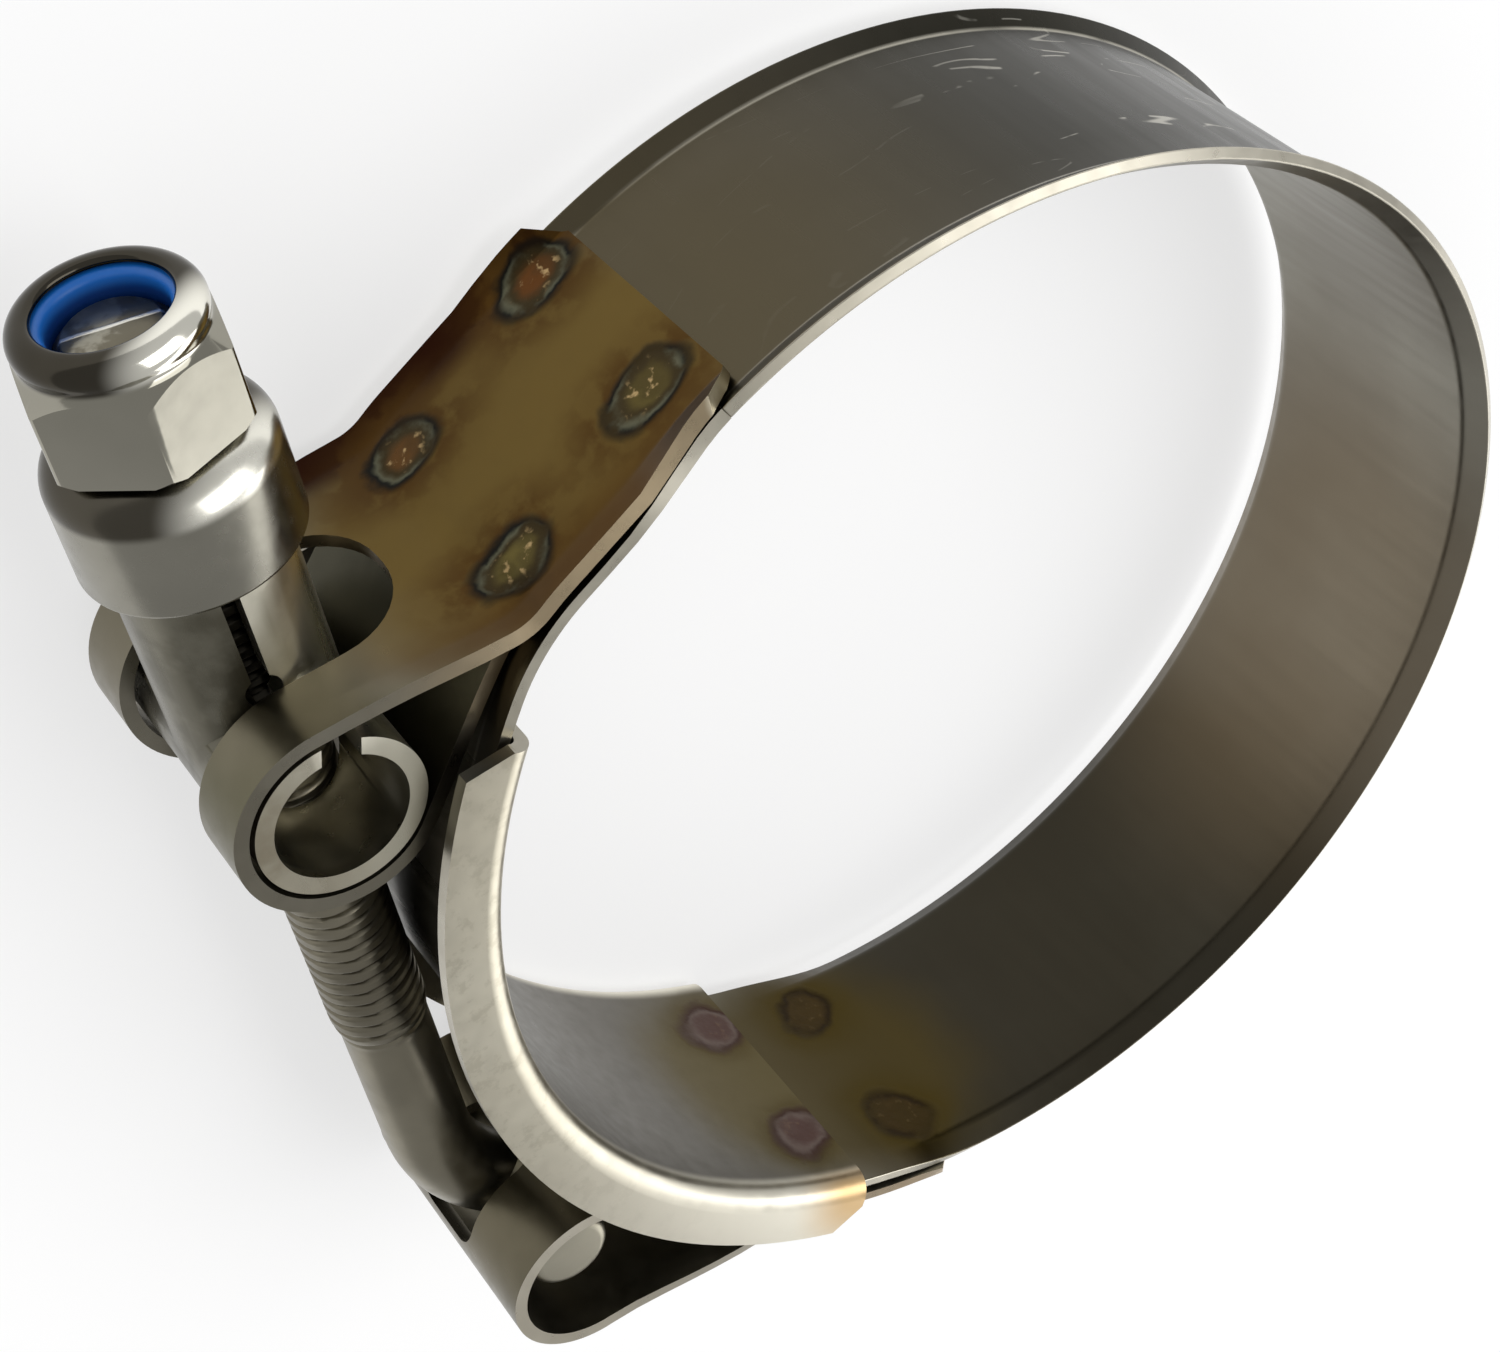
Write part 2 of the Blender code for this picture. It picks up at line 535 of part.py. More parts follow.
def make_cap(parts):
    middle = (CAP_RADIUS - CAP_SHOULDER, CAP_HEIGHT - CAP_SHOULDER)
    hole = THREAD_RADIUS + CLEARANCE
    profile = [(hole, CAP_HEIGHT)] + quarter(middle, CAP_SHOULDER, 90.0, 0.0)
    profile += [(CAP_RADIUS, 0.0), (CAP_RADIUS - CAP_WALL, 0.0)]
    profile += quarter(middle, CAP_SHOULDER - CAP_WALL, 0.0, 90.0, 4) + [(hole, CAP_HEIGHT - CAP_WALL)]
    return turned("collar_cap", profile, parts, on_bolt(CAP_TOP - CAP_HEIGHT))


def make_nut(parts, cutters):
    corner = NUT_ACROSS_FLATS / math.sqrt(3)
    hole, top = THREAD_RADIUS + CLEARANCE, NUT_HEIGHT
    ceiling = top - NYLON_DEPTH + CLEARANCE
    floor = top - NYLON_DEPTH - NYLON_HEIGHT - CLEARANCE
    profile = [(NUT_MOUTH_RADIUS, top - NYLON_DEPTH / 3), (NUT_MOUTH_RADIUS + NYLON_DEPTH / 3, top)]
    profile += quarter((NUT_COLLAR_RADIUS - NUT_LIP_ROUND, top - NUT_LIP_ROUND), NUT_LIP_ROUND, 90.0, 0.0, 5)
    profile += [(NUT_COLLAR_RADIUS, NUT_HEX_HEIGHT + corner - NUT_COLLAR_RADIUS), (corner, NUT_HEX_HEIGHT)]
    profile += [(corner, corner - NUT_BASE_RADIUS), (NUT_BASE_RADIUS, 0.0), (hole, 0.0), (hole, floor)]
    profile += [(NUT_POCKET_RADIUS, floor), (NUT_POCKET_RADIUS, ceiling), (NUT_MOUTH_RADIUS, ceiling)]
    nut = turned("lock_nut", profile, parts, on_bolt(NUT_BASE))
    hexagon = cylinder("nut_hexagon", corner, 4 * NUT_HEIGHT, on_bolt(NUT_BASE), (0, 1, 0), cutters, 6)
    hexagon.rotation_euler.y = math.radians(NUT_TURN)
    boolean(nut, hexagon, "INTERSECT")
    return nut


def make_nylon(parts):
    inner, outer = THREAD_RADIUS + CLEARANCE, NUT_POCKET_RADIUS - CLEARANCE
    profile = [(inner, NYLON_HEIGHT), (outer, NYLON_HEIGHT), (outer, 0.0), (inner, 0.0)]
    return turned("nylon_ring", profile, parts, on_bolt(NUT_BASE + NUT_HEIGHT - NYLON_DEPTH - NYLON_HEIGHT))


def main():
    for obj in list(bpy.data.objects):
        bpy.data.objects.remove(obj, do_unlink=True)
    parts = bpy.data.collections.new("t_bolt_clamp")
    cutters = bpy.data.collections.new("cutters")
    for collection in (parts, cutters):
        bpy.context.scene.collection.children.link(collection)

    band_steel = material("band_steel", (0.23, 0.21, 0.18), 0.38, 1.0)
    bridge_steel = material("bridge_steel", (0.5, 0.47, 0.4), 0.34, 1.0)
    upper_strap_steel = material("upper_strap_steel", (0.25, 0.19, 0.11), 0.4, 1.0)
    lower_strap_steel = material("lower_strap_steel", (0.3, 0.26, 0.19), 0.4, 1.0)
    trunnion_steel = material("trunnion_steel", (0.45, 0.43, 0.39), 0.42, 1.0)
    bolt_steel = material("bolt_steel", (0.3, 0.28, 0.25), 0.42, 1.0)
    cap_steel = material("cap_steel", (0.5, 0.47, 0.42), 0.3, 1.0)
    nut_steel = material("nut_steel", (0.55, 0.53, 0.48), 0.22, 1.0)
    blue_nylon = material("blue_nylon", (0.02, 0.1, 0.42), 0.45, 0.0)

    pieces = [
        (make_band(parts, cutters), band_steel),
        (make_bridge(parts, cutters), bridge_steel),
        (make_upper_strap(parts, cutters), upper_strap_steel),
        (make_lower_strap(parts, cutters), lower_strap_steel),
        (make_trunnion(parts, cutters), trunnion_steel),
        (make_bolt(parts, cutters), bolt_steel),
        (make_cap(parts), cap_steel),
        (make_nut(parts, cutters), nut_steel),
        (make_nylon(parts), blue_nylon),
    ]
    for piece, steel in pieces:
        piece.data.materials.append(steel)


main()
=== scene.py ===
# %% [markdown]
# # A T-bolt hose clamp
# A stainless clamp that squeezes a hose on to a pipe. A rolled band is closed by a
# bent T-bolt: its head lies in one strap loop, and a lock nut on its thread pushes a
# cap against a trunnion in the other loop. The sheets are dressed again here with
# finer bends, a real thread and the colours that welding leaves on steel.

# %% Load the frame
import json
import math

import bmesh
import bpy
from mathutils import Matrix, Vector


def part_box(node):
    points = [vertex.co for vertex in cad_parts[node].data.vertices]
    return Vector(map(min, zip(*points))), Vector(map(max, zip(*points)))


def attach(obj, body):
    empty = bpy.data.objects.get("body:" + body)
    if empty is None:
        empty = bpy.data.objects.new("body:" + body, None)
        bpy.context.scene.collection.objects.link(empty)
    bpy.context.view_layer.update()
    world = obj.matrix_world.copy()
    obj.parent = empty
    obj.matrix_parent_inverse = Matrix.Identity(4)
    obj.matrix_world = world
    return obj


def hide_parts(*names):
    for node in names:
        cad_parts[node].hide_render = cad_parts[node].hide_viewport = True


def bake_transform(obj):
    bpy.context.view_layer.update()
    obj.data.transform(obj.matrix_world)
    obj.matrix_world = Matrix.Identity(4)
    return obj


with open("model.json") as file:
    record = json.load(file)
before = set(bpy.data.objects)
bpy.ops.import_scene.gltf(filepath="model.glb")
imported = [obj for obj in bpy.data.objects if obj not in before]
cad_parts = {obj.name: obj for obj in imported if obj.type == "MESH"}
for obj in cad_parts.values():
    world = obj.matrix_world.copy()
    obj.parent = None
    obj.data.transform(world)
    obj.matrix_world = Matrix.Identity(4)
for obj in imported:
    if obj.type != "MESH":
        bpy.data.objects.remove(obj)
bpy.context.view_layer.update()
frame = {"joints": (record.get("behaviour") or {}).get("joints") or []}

MM = 0.001
joints = {joint["name"]: joint for joint in frame["joints"]}
ring_middle = Vector(joints["band_close"]["pos_m"])
trunnion_middle = Vector(joints["trunnion_turn"]["pos_m"])
head_middle = Vector(joints["bolt_swing"]["pos_m"])
nut_base = Vector(joints["nut_spin"]["pos_m"])
print("ring at", ring_middle, "trunnion at", trunnion_middle)

# %% [markdown]
# Everything is drawn in the plane of the ring. u runs along the bolt towards the nut,
# n outward from the middle of the ring to the bolt, and z along the hose. Flat
# positions are pairs (u, n), and ring angles count from n towards u.

# %% Places in the plane of the clamp
def place(u, n, z=0.0):
    return ring_middle + Vector((-n, u, z))


def flat(point):
    return (point.y - ring_middle.y, ring_middle.x - point.x)


def polar(centre, radius, angle):
    turn = math.radians(angle)
    return (centre[0] + radius * math.sin(turn), centre[1] + radius * math.cos(turn))


def bearing(a, b):
    return math.degrees(math.atan2(b[1] - a[1], b[0] - a[0]))


RING = (0.0, 0.0)
TRUNNION = flat(trunnion_middle)
HEAD = flat(head_middle)
print("trunnion", TRUNNION, "head", HEAD)

# %% [markdown]
# A clamp's sheets are flat blanks bent along a line of runs and bends. Walking along
# that line in small steps gives the rows of a grid, so one helper serves the band,
# the bridge and both straps.

# %% Walk along runs and bends
CHORD_ERROR = 0.004 * MM


def run(length):
    return (length, 0.0)


def bend(radius, turn):
    return (radius * math.radians(abs(turn)), turn)


def walk(start, heading, moves, longest=2.0 * MM):
    u, n = start
    rows = [(u, n, heading)]
    for length, turn in moves:
        steps = max(1, math.ceil(length / longest))
        chord = length / steps
        if turn:
            radius = length / math.radians(abs(turn))
            facet = 2 * math.degrees(math.acos(1 - CHORD_ERROR / radius))
            steps = max(steps, math.ceil(abs(turn) / facet))
            chord = 2 * radius * math.sin(math.radians(abs(turn)) / steps / 2)
        for _ in range(steps):
            middle = math.radians(heading + turn / steps / 2)
            u += chord * math.cos(middle)
            n += chord * math.sin(middle)
            heading += turn / steps
            rows.append((u, n, heading))
    return rows


def crossed_tangent(a, radius_a, b, radius_b, side):
    apart, reach = math.dist(a, b), radius_a + radius_b
    heading = bearing(a, b) + side * math.degrees(math.asin(reach / apart))
    return heading, math.sqrt(apart ** 2 - reach ** 2)


def ramp(value, low, high):
    t = min(max((value - low) / (high - low), 0.0), 1.0)
    return t * t * (3 - 2 * t)


# %% [markdown]
# The sizes of the sheets. The band's rims are bent outward all round the ring, and
# the bend fades out where the straps carry the band over the bridge.

# %% Sizes of the sheets
BAND_HALF = 10.0 * MM
BAND_THICKNESS = 0.7 * MM
BRIDGE_THICKNESS = 0.8 * MM
STRAP_THICKNESS = 0.85 * MM
SHEET_GAP = 0.25 * MM
FLARE_WIDTH = 1.6 * MM
FLARE_ANGLE = 34.0
BRIDGE_OFFSET = 3.2 * MM
BRIDGE_OFFSET_ANGLE = -30.0
BRIDGE_UPPER_END = 30.7
BRIDGE_LOWER_END = -61.5
SHOULDER_RADIUS = 13.0 * MM
SHOULDER_UPPER_ANGLE = 34.0
BAND_LOWER_END, BAND_UPPER_END = -43.0, -1.8
UPPER_STRAP_END, LOWER_STRAP_END = 68.5, -77.0

RIM_RISE = FLARE_WIDTH * math.sin(math.radians(FLARE_ANGLE))
RIM_LIP = BAND_THICKNESS / 2 * math.cos(math.radians(FLARE_ANGLE))
rim_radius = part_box("band")[1].x - ring_middle.x
BAND_MID = rim_radius - RIM_RISE - RIM_LIP
BRIDGE_CENTRE = polar(RING, -BRIDGE_OFFSET, BRIDGE_OFFSET_ANGLE)
BRIDGE_MID = BAND_MID - BAND_THICKNESS / 2 - SHEET_GAP - BRIDGE_THICKNESS / 2
SHOULDER = polar(BRIDGE_CENTRE, BAND_MID + BRIDGE_OFFSET - SHOULDER_RADIUS, SHOULDER_UPPER_ANGLE)
shoulder_drop = BAND_MID - SHOULDER_RADIUS
SHOULDER_START = 90.0 - bearing(RING, SHOULDER) + math.degrees(math.acos(shoulder_drop / math.hypot(*SHOULDER)))
SHOULDER_RUN = math.sqrt(math.hypot(*SHOULDER) ** 2 - shoulder_drop ** 2)
STRAP_LIFT = BAND_THICKNESS / 2 + SHEET_GAP + STRAP_THICKNESS / 2
flange_half = (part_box("bridge")[1].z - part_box("bridge")[0].z) / 2 - BRIDGE_THICKNESS / 2
print("band radius", BAND_MID, "shoulder from", SHOULDER_START, "flange at", flange_half)

# %% Bend the rims outward
def flare_share(u, n):
    angle = math.degrees(math.atan2(u, n))
    return ramp(-angle, 66.0, 80.0) if angle < 0 else ramp(angle, 52.0, 66.0)


def rim_section(half, lift, share):
    angle = math.radians(FLARE_ANGLE) * share
    fold = half - FLARE_WIDTH - lift * math.tan(angle / 2)
    soft, length = FLARE_WIDTH / 6, half - fold
    points = [(fold * 0.35, 0.0), (fold * 0.7, 0.0), (fold - soft, 0.0)]
    for part in (-0.5, 0.0, 0.5):
        rise = soft * (1 + part) ** 2 / 4
        points.append((fold + soft * part, rise * math.sin(angle)))
    points += [(fold + reach * math.cos(angle), reach * math.sin(angle)) for reach in (soft, length)]
    return [(-z, height) for z, height in reversed(points)] + [(0.0, 0.0)] + points


# %% [markdown]
# A sheet starts as a flat grid. Each row is set across the path, and a Solidify
# modifier gives the wall its thickness. Its two faces and its cut edge get their own
# materials, because rolled faces are satin and sheared edges are bright.

# %% Lay a sheet along a path
def finished(name, bm, body, node, materials, smooth=35.0):
    mesh = bpy.data.meshes.new(name)
    bm.to_mesh(mesh)
    bm.free()
    mesh.shade_smooth()
    mesh.set_sharp_from_angle(angle=math.radians(smooth))
    obj = bpy.data.objects.new(name, mesh)
    bpy.context.scene.collection.objects.link(obj)
    for material in materials:
        mesh.materials.append(material)
    if body:
        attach(obj, body)
    if node:
        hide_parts(node)
    return obj


def sheet(name, rows, section, thickness, side, body, node, materials):
    bm = bmesh.new()
    columns = len(section(0.0, *rows[0][:2]))
    bmesh.ops.create_grid(bm, x_segments=len(rows) - 1, y_segments=columns - 1, size=1.0)
    distances = [0.0]
    for a, b in zip(rows, rows[1:]):
        distances.append(distances[-1] + math.dist(a[:2], b[:2]))
    for vert in bm.verts:
        index = round((vert.co.x + 1) / 2 * (len(rows) - 1))
        u, n, heading = rows[index]
        z, height = section(distances[index], u, n)[round((vert.co.y + 1) / 2 * (columns - 1))]
        away = math.radians(heading - 90.0 * side)
        vert.co = place(u + height * math.cos(away), n + height * math.sin(away), z)
    # The grid's faces are wound so that they all look outward.
    bm.normal_update()
    first = bm.faces[:][0]
    u, n = flat(first.calc_center_median())
    nearest = min(rows, key=lambda row: math.dist(row[:2], (u, n)))
    away = math.radians(nearest[2] - 90.0 * side)
    outward = Vector((-math.sin(away), math.cos(away), 0.0))
    if first.normal.dot(outward) < 0:
        bmesh.ops.reverse_faces(bm, faces=bm.faces)
    obj = finished(name, bm, body, node, materials)
    wall = obj.modifiers.new("wall", "SOLIDIFY")
    wall.thickness = thickness
    wall.offset = 0.0
    wall.use_even_offset = True
    wall.material_offset = 1
    wall.material_offset_rim = 2
    return obj


# %% [markdown]
# Slots and cut corners are taken out with hidden cutters, and a narrow bevel then
# breaks every edge. Real sheet edges are never sharp, and the broken edge is what
# catches the light.

# %% Cut and round a sheet
def outward_turn(angle):
    return math.radians(180.0 - angle)


def cut(obj, name, centre, size, turn=(0.0, 0.0, 0.0), round_axis=None, radius=0.0):
    bm = bmesh.new()
    bmesh.ops.create_cube(bm, size=1.0)
    bmesh.ops.scale(bm, vec=Vector(size), verts=bm.verts)
    if round_axis is not None:
        edges = [e for e in bm.edges if abs((e.verts[0].co - e.verts[1].co)[round_axis]) > size[round_axis] / 2]
        bmesh.ops.bevel(bm, geom=edges, offset=radius, segments=10, profile=0.5, affect="EDGES", material=-1)
    x, y, z = (Matrix.Rotation(angle, 4, axis) for angle, axis in zip(turn, "XYZ"))
    bmesh.ops.transform(bm, matrix=Matrix.Translation(centre) @ z @ y @ x, verts=bm.verts)
    mesh = bpy.data.meshes.new(name)
    bm.to_mesh(mesh)
    bm.free()
    mesh.materials.append(obj.data.materials[-1])
    cutter = bpy.data.objects.new(name, mesh)
    bpy.context.scene.collection.objects.link(cutter)
    step = obj.modifiers.new(name, "BOOLEAN")
    step.solver = "EXACT"
    step.material_mode = "TRANSFER"
    step.object = cutter
    cutters.append(cutter)


def cut_corners(obj, point, angle, size):
    for side in (-1, 1):
        turn = (math.pi / 4, 0.0, outward_turn(angle))
        cut(obj, f"{obj.name}_corner_{side}", place(*point, side * BAND_HALF),
            (8 * MM, size * math.sqrt(2), size * math.sqrt(2)), turn)


def apply_all(obj):
    graph = bpy.context.evaluated_depsgraph_get()
    mesh = bpy.data.meshes.new_from_object(obj.evaluated_get(graph))
    obj.modifiers.clear()
    obj.data = mesh
    return mesh


def bake(obj, edge=0.09 * MM):
    """Apply the cuts, then break the edges with a live bevel."""
    mesh = apply_all(obj)
    mesh.shade_smooth()
    mesh.set_sharp_from_angle(angle=math.radians(35))
    soft = obj.modifiers.new("broken_edges", "BEVEL")
    soft.width = edge
    soft.segments = 2
    soft.limit_method = "ANGLE"
    soft.angle_limit = math.radians(50)
    soft.harden_normals = False
    print(obj.name, len(mesh.vertices), "points")
    return obj


cutters = []

# %% [markdown]
# ## Finishes
# Shader maths reads best as formulas, so a small class wraps a socket and lets
# ordinary Python signs build the Math nodes. Every finish starts from bare steel and
# mixes in what happened to it: rolling, handling and the heat of welding. Some marks
# are painted light: painted highlights, painted reflections and painted shade.

# %% Write shader maths as formulas
class Flow:
    """A value or colour that flows between shader nodes."""

    def __init__(self, paint, socket):
        self.paint, self.socket = paint, socket

    def maths(self, operation, a, b):
        return self.paint.add("ShaderNodeMath", {"operation": operation}, {0: a, 1: b})

    def __add__(self, other):
        return self.maths("ADD", self, other)

    def __sub__(self, other):
        return self.maths("SUBTRACT", self, other)

    def __rsub__(self, other):
        return self.maths("SUBTRACT", other, self)

    def __mul__(self, other):
        return self.maths("MULTIPLY", self, other)

    def __truediv__(self, other):
        return self.maths("DIVIDE", self, other)

    def __abs__(self):
        return self.maths("ABSOLUTE", self, 0.0)

    __radd__ = __add__
    __rmul__ = __mul__


class Paint:
    """A material whose nodes are added by type, settings and sockets."""

    def __init__(self, name, roughness=0.35, metallic=1.0):
        self.material = bpy.data.materials.new(name)
        self.material.use_nodes = True
        self.nodes = self.material.node_tree.nodes
        self.shader = self.nodes["Principled BSDF"]
        self.set("Roughness", roughness)
        self.set("Metallic", metallic)
        self.place = self.add("ShaderNodeTexCoord", out="Object")
        self.across = self.axis(2) - ring_middle.z

    def plug(self, socket, value):
        if isinstance(value, Flow):
            self.material.node_tree.links.new(value.socket, socket)
        else:
            socket.default_value = value

    def add(self, kind, settings=None, sockets=None, out=0):
        node = self.nodes.new(kind)
        for name, value in (settings or {}).items():
            setattr(node, name, value)
        for name, value in (sockets or {}).items():
            self.plug(node.inputs[name], value)
        return Flow(self, node.outputs[out])

    def axis(self, index):
        return self.add("ShaderNodeSeparateXYZ", {}, {0: self.place}, out=index)

    def set(self, name, value):
        self.plug(self.shader.inputs[name], value)

    def step(self, value, low, high):
        return self.add("ShaderNodeMapRange", {"interpolation_type": "SMOOTHSTEP"},
                        {"Value": value, "From Min": low, "From Max": high})

    def noise(self, scale, detail=3.0, stretch=(1.0, 1.0, 1.0), roughness=0.5):
        where = self.add("ShaderNodeMapping", {"vector_type": "POINT"}, {"Vector": self.place, "Scale": stretch})
        return self.add("ShaderNodeTexNoise", {}, {"Vector": where, "Scale": scale, "Detail": detail,
                                                   "Roughness": roughness})

    def mix(self, share, a, b):
        a, b = (value if isinstance(value, Flow) else (*value, 1.0) for value in (a, b))
        return self.add("ShaderNodeMix", {"data_type": "RGBA"}, {0: share, 6: a, 7: b}, out=2)

    def distance(self, point, stretch=(1.0, 1.0, 1.0)):
        where = self.add("ShaderNodeMapping", {"vector_type": "POINT"}, {"Vector": self.place, "Scale": stretch})
        goal = tuple(Vector(point) * Vector(stretch))
        return self.add("ShaderNodeVectorMath", {"operation": "DISTANCE"}, {0: where, 1: goal}, out=1)

    def near(self, distance, radius, soft=0.15):
        """1 inside a radius, 0 outside it."""
        return 1.0 - self.step(distance, radius * (1.0 - soft), radius * (1.0 + soft))

    def bump(self, height, depth, strength=1.0):
        self.set("Normal", self.add("ShaderNodeBump", {}, {"Strength": strength, "Distance": depth,
                                                           "Height": height}))


# %% [markdown]
# Bare stainless sheet is satin, with a faint grain along the strip and soft cloudy
# patches from handling. Cut edges are cleaner and brighter than the faces.

# %% Bare steel
def steel(name, colour, shade, roughness, grain=0.05, stretch=(1.0, 1.0, 1.0), marks=None):
    """Satin steel; marks(paint, colour, height) may paint over it before it is plugged in."""
    paint = Paint(name, roughness)
    cloud = paint.noise(60.0, 4.0)
    fine = paint.noise(900.0, 2.0, stretch)
    painted, height = paint.mix(paint.step(cloud, 0.35, 0.65), colour, shade), fine
    if marks:
        painted, height = marks(paint, painted, height)
    paint.set("Base Color", painted)
    paint.set("Roughness", roughness + (fine - 0.5) * grain * 4.0 + (cloud - 0.5) * grain)
    paint.bump(height, 0.02 * MM, 0.25)
    return paint


# %% [markdown]
# A spot weld leaves rings of colour: a rough copper bead, a pale ashen ring, a dark
# blue-grey rim and a brown halo where the steel was only warm. The rings are painted
# from the outside in, on a distance made ragged by noise.

# %% Rings of a spot weld
# Each ring is (share of the weld's radius, colour, softness, least strength); patches fill it up to 1.
OUTER_WELD = ((2.1, (0.075, 0.038, 0.009), 0.5, 0.35), (1.14, (0.0093, 0.0093, 0.0078), 0.14, 0.75),
              (0.92, (0.13, 0.13, 0.085), 0.1, 0.0), (0.8, (0.046, 0.033, 0.014), 0.2, 0.85),
              (0.5, (0.13, 0.046, 0.012), 0.35, 0.6))
UPPER_BEADS = ((0.12, 0.047, 0.013), (0.105, 0.08, 0.025), (0.115, 0.055, 0.017), (0.14, 0.11, 0.034))
BRIDGE_WELD = ((1.45, (0.078, 0.056, 0.017), 0.35, 0.6), (1.06, (0.046, 0.022, 0.016), 0.2, 0.85),
               (0.8, (0.13, 0.096, 0.081), 0.15, 0.5), (0.62, (0.081, 0.045, 0.037), 0.3, 0.8))
BAND_WELD = ((1.7, (0.062, 0.043, 0.0093), 0.4, 0.7), (1.0, (0.022, 0.014, 0.0062), 0.2, 0.6),
             (0.7, (0.053, 0.034, 0.011), 0.3, 0.5))


def weld_marks(paint, colour, height, points, radius, rings, glint_strength, stretch=(1.0, 1.0, 1.0), beads=None):
    """Rings round each point, with painted glints on the beads; the argument after rings sets their strength, and
    beads gives the beads their own colours.
    """
    ragged = (paint.noise(240.0, 5.0) - 0.5) * 1.7 * radius
    bead = paint.noise(1500.0, 3.0)
    patch = paint.step(paint.noise(480.0, 4.0), 0.4, 0.58)
    for point, tint in zip(points, beads or [rings[-1][1]] * len(points)):
        away = paint.distance(point, stretch) + ragged
        rings = (*rings[:-1], (rings[-1][0], tint, *rings[-1][2:]))
        for size, tint, soft, least in rings:
            share = paint.near(away, size * radius, soft) * (least + (1.0 - least) * patch)
            colour = paint.mix(share, colour, tint)
        # Painted glints: bright specks on the bead.
        glint = paint.near(away, 0.6 * radius, 0.4) * paint.step(bead, 0.57, 0.7)
        colour = paint.mix(glint * glint_strength, colour, (0.6, 0.42, 0.2))
        inside = paint.near(away, 0.9 * radius, 0.1)
        height = height + inside * (bead * 6.0 - 5.0) + paint.near(away, 1.15 * radius, 0.1) * 2.5
    return colour, height


# %% Where the welds are
WELD_RADIUS = 2.15 * MM
LINE_ACROSS = (-0.258, 0.0, 0.966)
strap_face = STRAP_LIFT + STRAP_THICKNESS / 2
shoulder_weld = polar(SHOULDER, SHOULDER_RADIUS + strap_face, 58.0)
straight_weld = polar(polar(RING, BAND_MID + strap_face, SHOULDER_START), -0.4 * MM, SHOULDER_START - 90.0)
upper_welds = [place(*straight_weld, -7.0 * MM), place(*straight_weld, 5.2 * MM),
               place(*shoulder_weld, -5.5 * MM), place(*shoulder_weld, 6.0 * MM)]
weld_middle = sum(upper_welds, Vector()) / 4
bridge_welds = [place(*polar(RING, BRIDGE_MID - BRIDGE_THICKNESS / 2, -58.2), z) for z in (-5.8 * MM, 5.6 * MM)]
band_welds = [place(*polar(RING, BAND_MID - BAND_THICKNESS / 2, -72.3), z) for z in (-5.8 * MM, 5.5 * MM)]
warm_middle = place(*polar(RING, BAND_MID, -68.0))
print("upper welds about", weld_middle)


# %% Heat tints, wear, and painted light and shade
def upper_heat(paint, colour, height):
    """Straw and brown round the welds, red-brown on the far rim."""
    away = paint.distance(weld_middle) + (paint.noise(90.0, 3.0) - 0.5) * 8.0 * MM
    warm = paint.near(away, 14.0 * MM, 0.3)
    colour = paint.mix(warm, colour, (0.14, 0.092, 0.025))
    rim = paint.step(abs(paint.across), 5.5 * MM, 9.5 * MM)
    colour = paint.mix(warm * rim * 0.85, colour, (0.075, 0.032, 0.005))
    far = paint.step(paint.across, -6.2 * MM, -8.2 * MM)
    colour = paint.mix(paint.near(paint.distance(weld_middle), 20.0 * MM, 0.2) * far, colour, (0.022, 0.0062, 0.0025))
    return weld_marks(paint, colour, height, upper_welds, WELD_RADIUS, OUTER_WELD, 0.7,
                      (0.86, 0.86, 1.22), UPPER_BEADS)


def edge_heat(middle, radius, tint):
    """Marks that tan the cut edges near a group of welds."""
    def marks(paint, colour, height):
        away = paint.distance(middle) + (paint.noise(90.0, 3.0) - 0.5) * 8.0 * MM
        return paint.mix(paint.near(away, radius, 0.35) * 0.8, colour, tint), height
    return marks


def upper_edges(paint, colour, height):
    """Tan cut edges near the welds, and a painted highlight on the strap's clipped corner."""
    colour, height = edge_heat(weld_middle, 15.0 * MM, (0.35, 0.27, 0.165))(paint, colour, height)
    corner = place(*polar(RING, BAND_MID + STRAP_LIFT, UPPER_STRAP_END), BAND_HALF)
    # Painted highlight on the clipped corner.
    return paint.mix(paint.near(paint.distance(corner), 2.2 * MM, 0.2), colour, (0.95, 0.89, 0.7)), height


def lower_edges(paint, colour, height):
    """Tan cut edges near the welds, and painted shade on the edges inside the slot for the bolt."""
    colour, height = edge_heat(warm_middle, 12.0 * MM, (0.4, 0.27, 0.13))(paint, colour, height)
    slot = paint.near(abs(paint.across), 4.5 * MM, 0.1) * paint.near(paint.distance(head_middle), 13.0 * MM, 0.1)
    # Painted shade inside the slot.
    return paint.mix(slot * 0.9, colour, (0.04, 0.036, 0.025)), height


def end_line(paint, colour, height):
    """A painted glint, a bright raised line, across the end of the bolt, and painted shade on the thread inside the
    trunnion's sleeve.
    """
    across = paint.add("ShaderNodeVectorMath", {"operation": "DOT_PRODUCT"}, {0: paint.place, 1: LINE_ACROSS}, out=1)
    offset = abs(across - nut_base.dot(Vector(LINE_ACROSS)) + 0.3 * MM + (paint.noise(300.0) - 0.5) * 0.4 * MM)
    along = paint.axis(1)
    end = paint.step(along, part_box("t_bolt")[1].y - 0.3 * MM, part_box("t_bolt")[1].y - 0.1 * MM)
    # Painted glint across the end of the bolt.
    line = paint.near(offset, 0.13 * MM, 0.5) * end
    rough = paint.noise(700.0, 4.0)
    inside = abs(along - trunnion_middle.y - 8.0 * MM)
    # Painted shade on the thread inside the trunnion's sleeve, where it shows through the slit.
    hidden = paint.near(inside, 6.5 * MM, 0.1)
    colour = paint.mix(hidden, colour, (0.02, 0.018, 0.014))
    colour = paint.mix(end * paint.step(rough, 0.5, 0.62) * 0.5, colour, (0.5, 0.48, 0.4))
    return paint.mix(line, colour, (0.95, 0.93, 0.84)), height + line * 3.0 + end * rough * 8.0


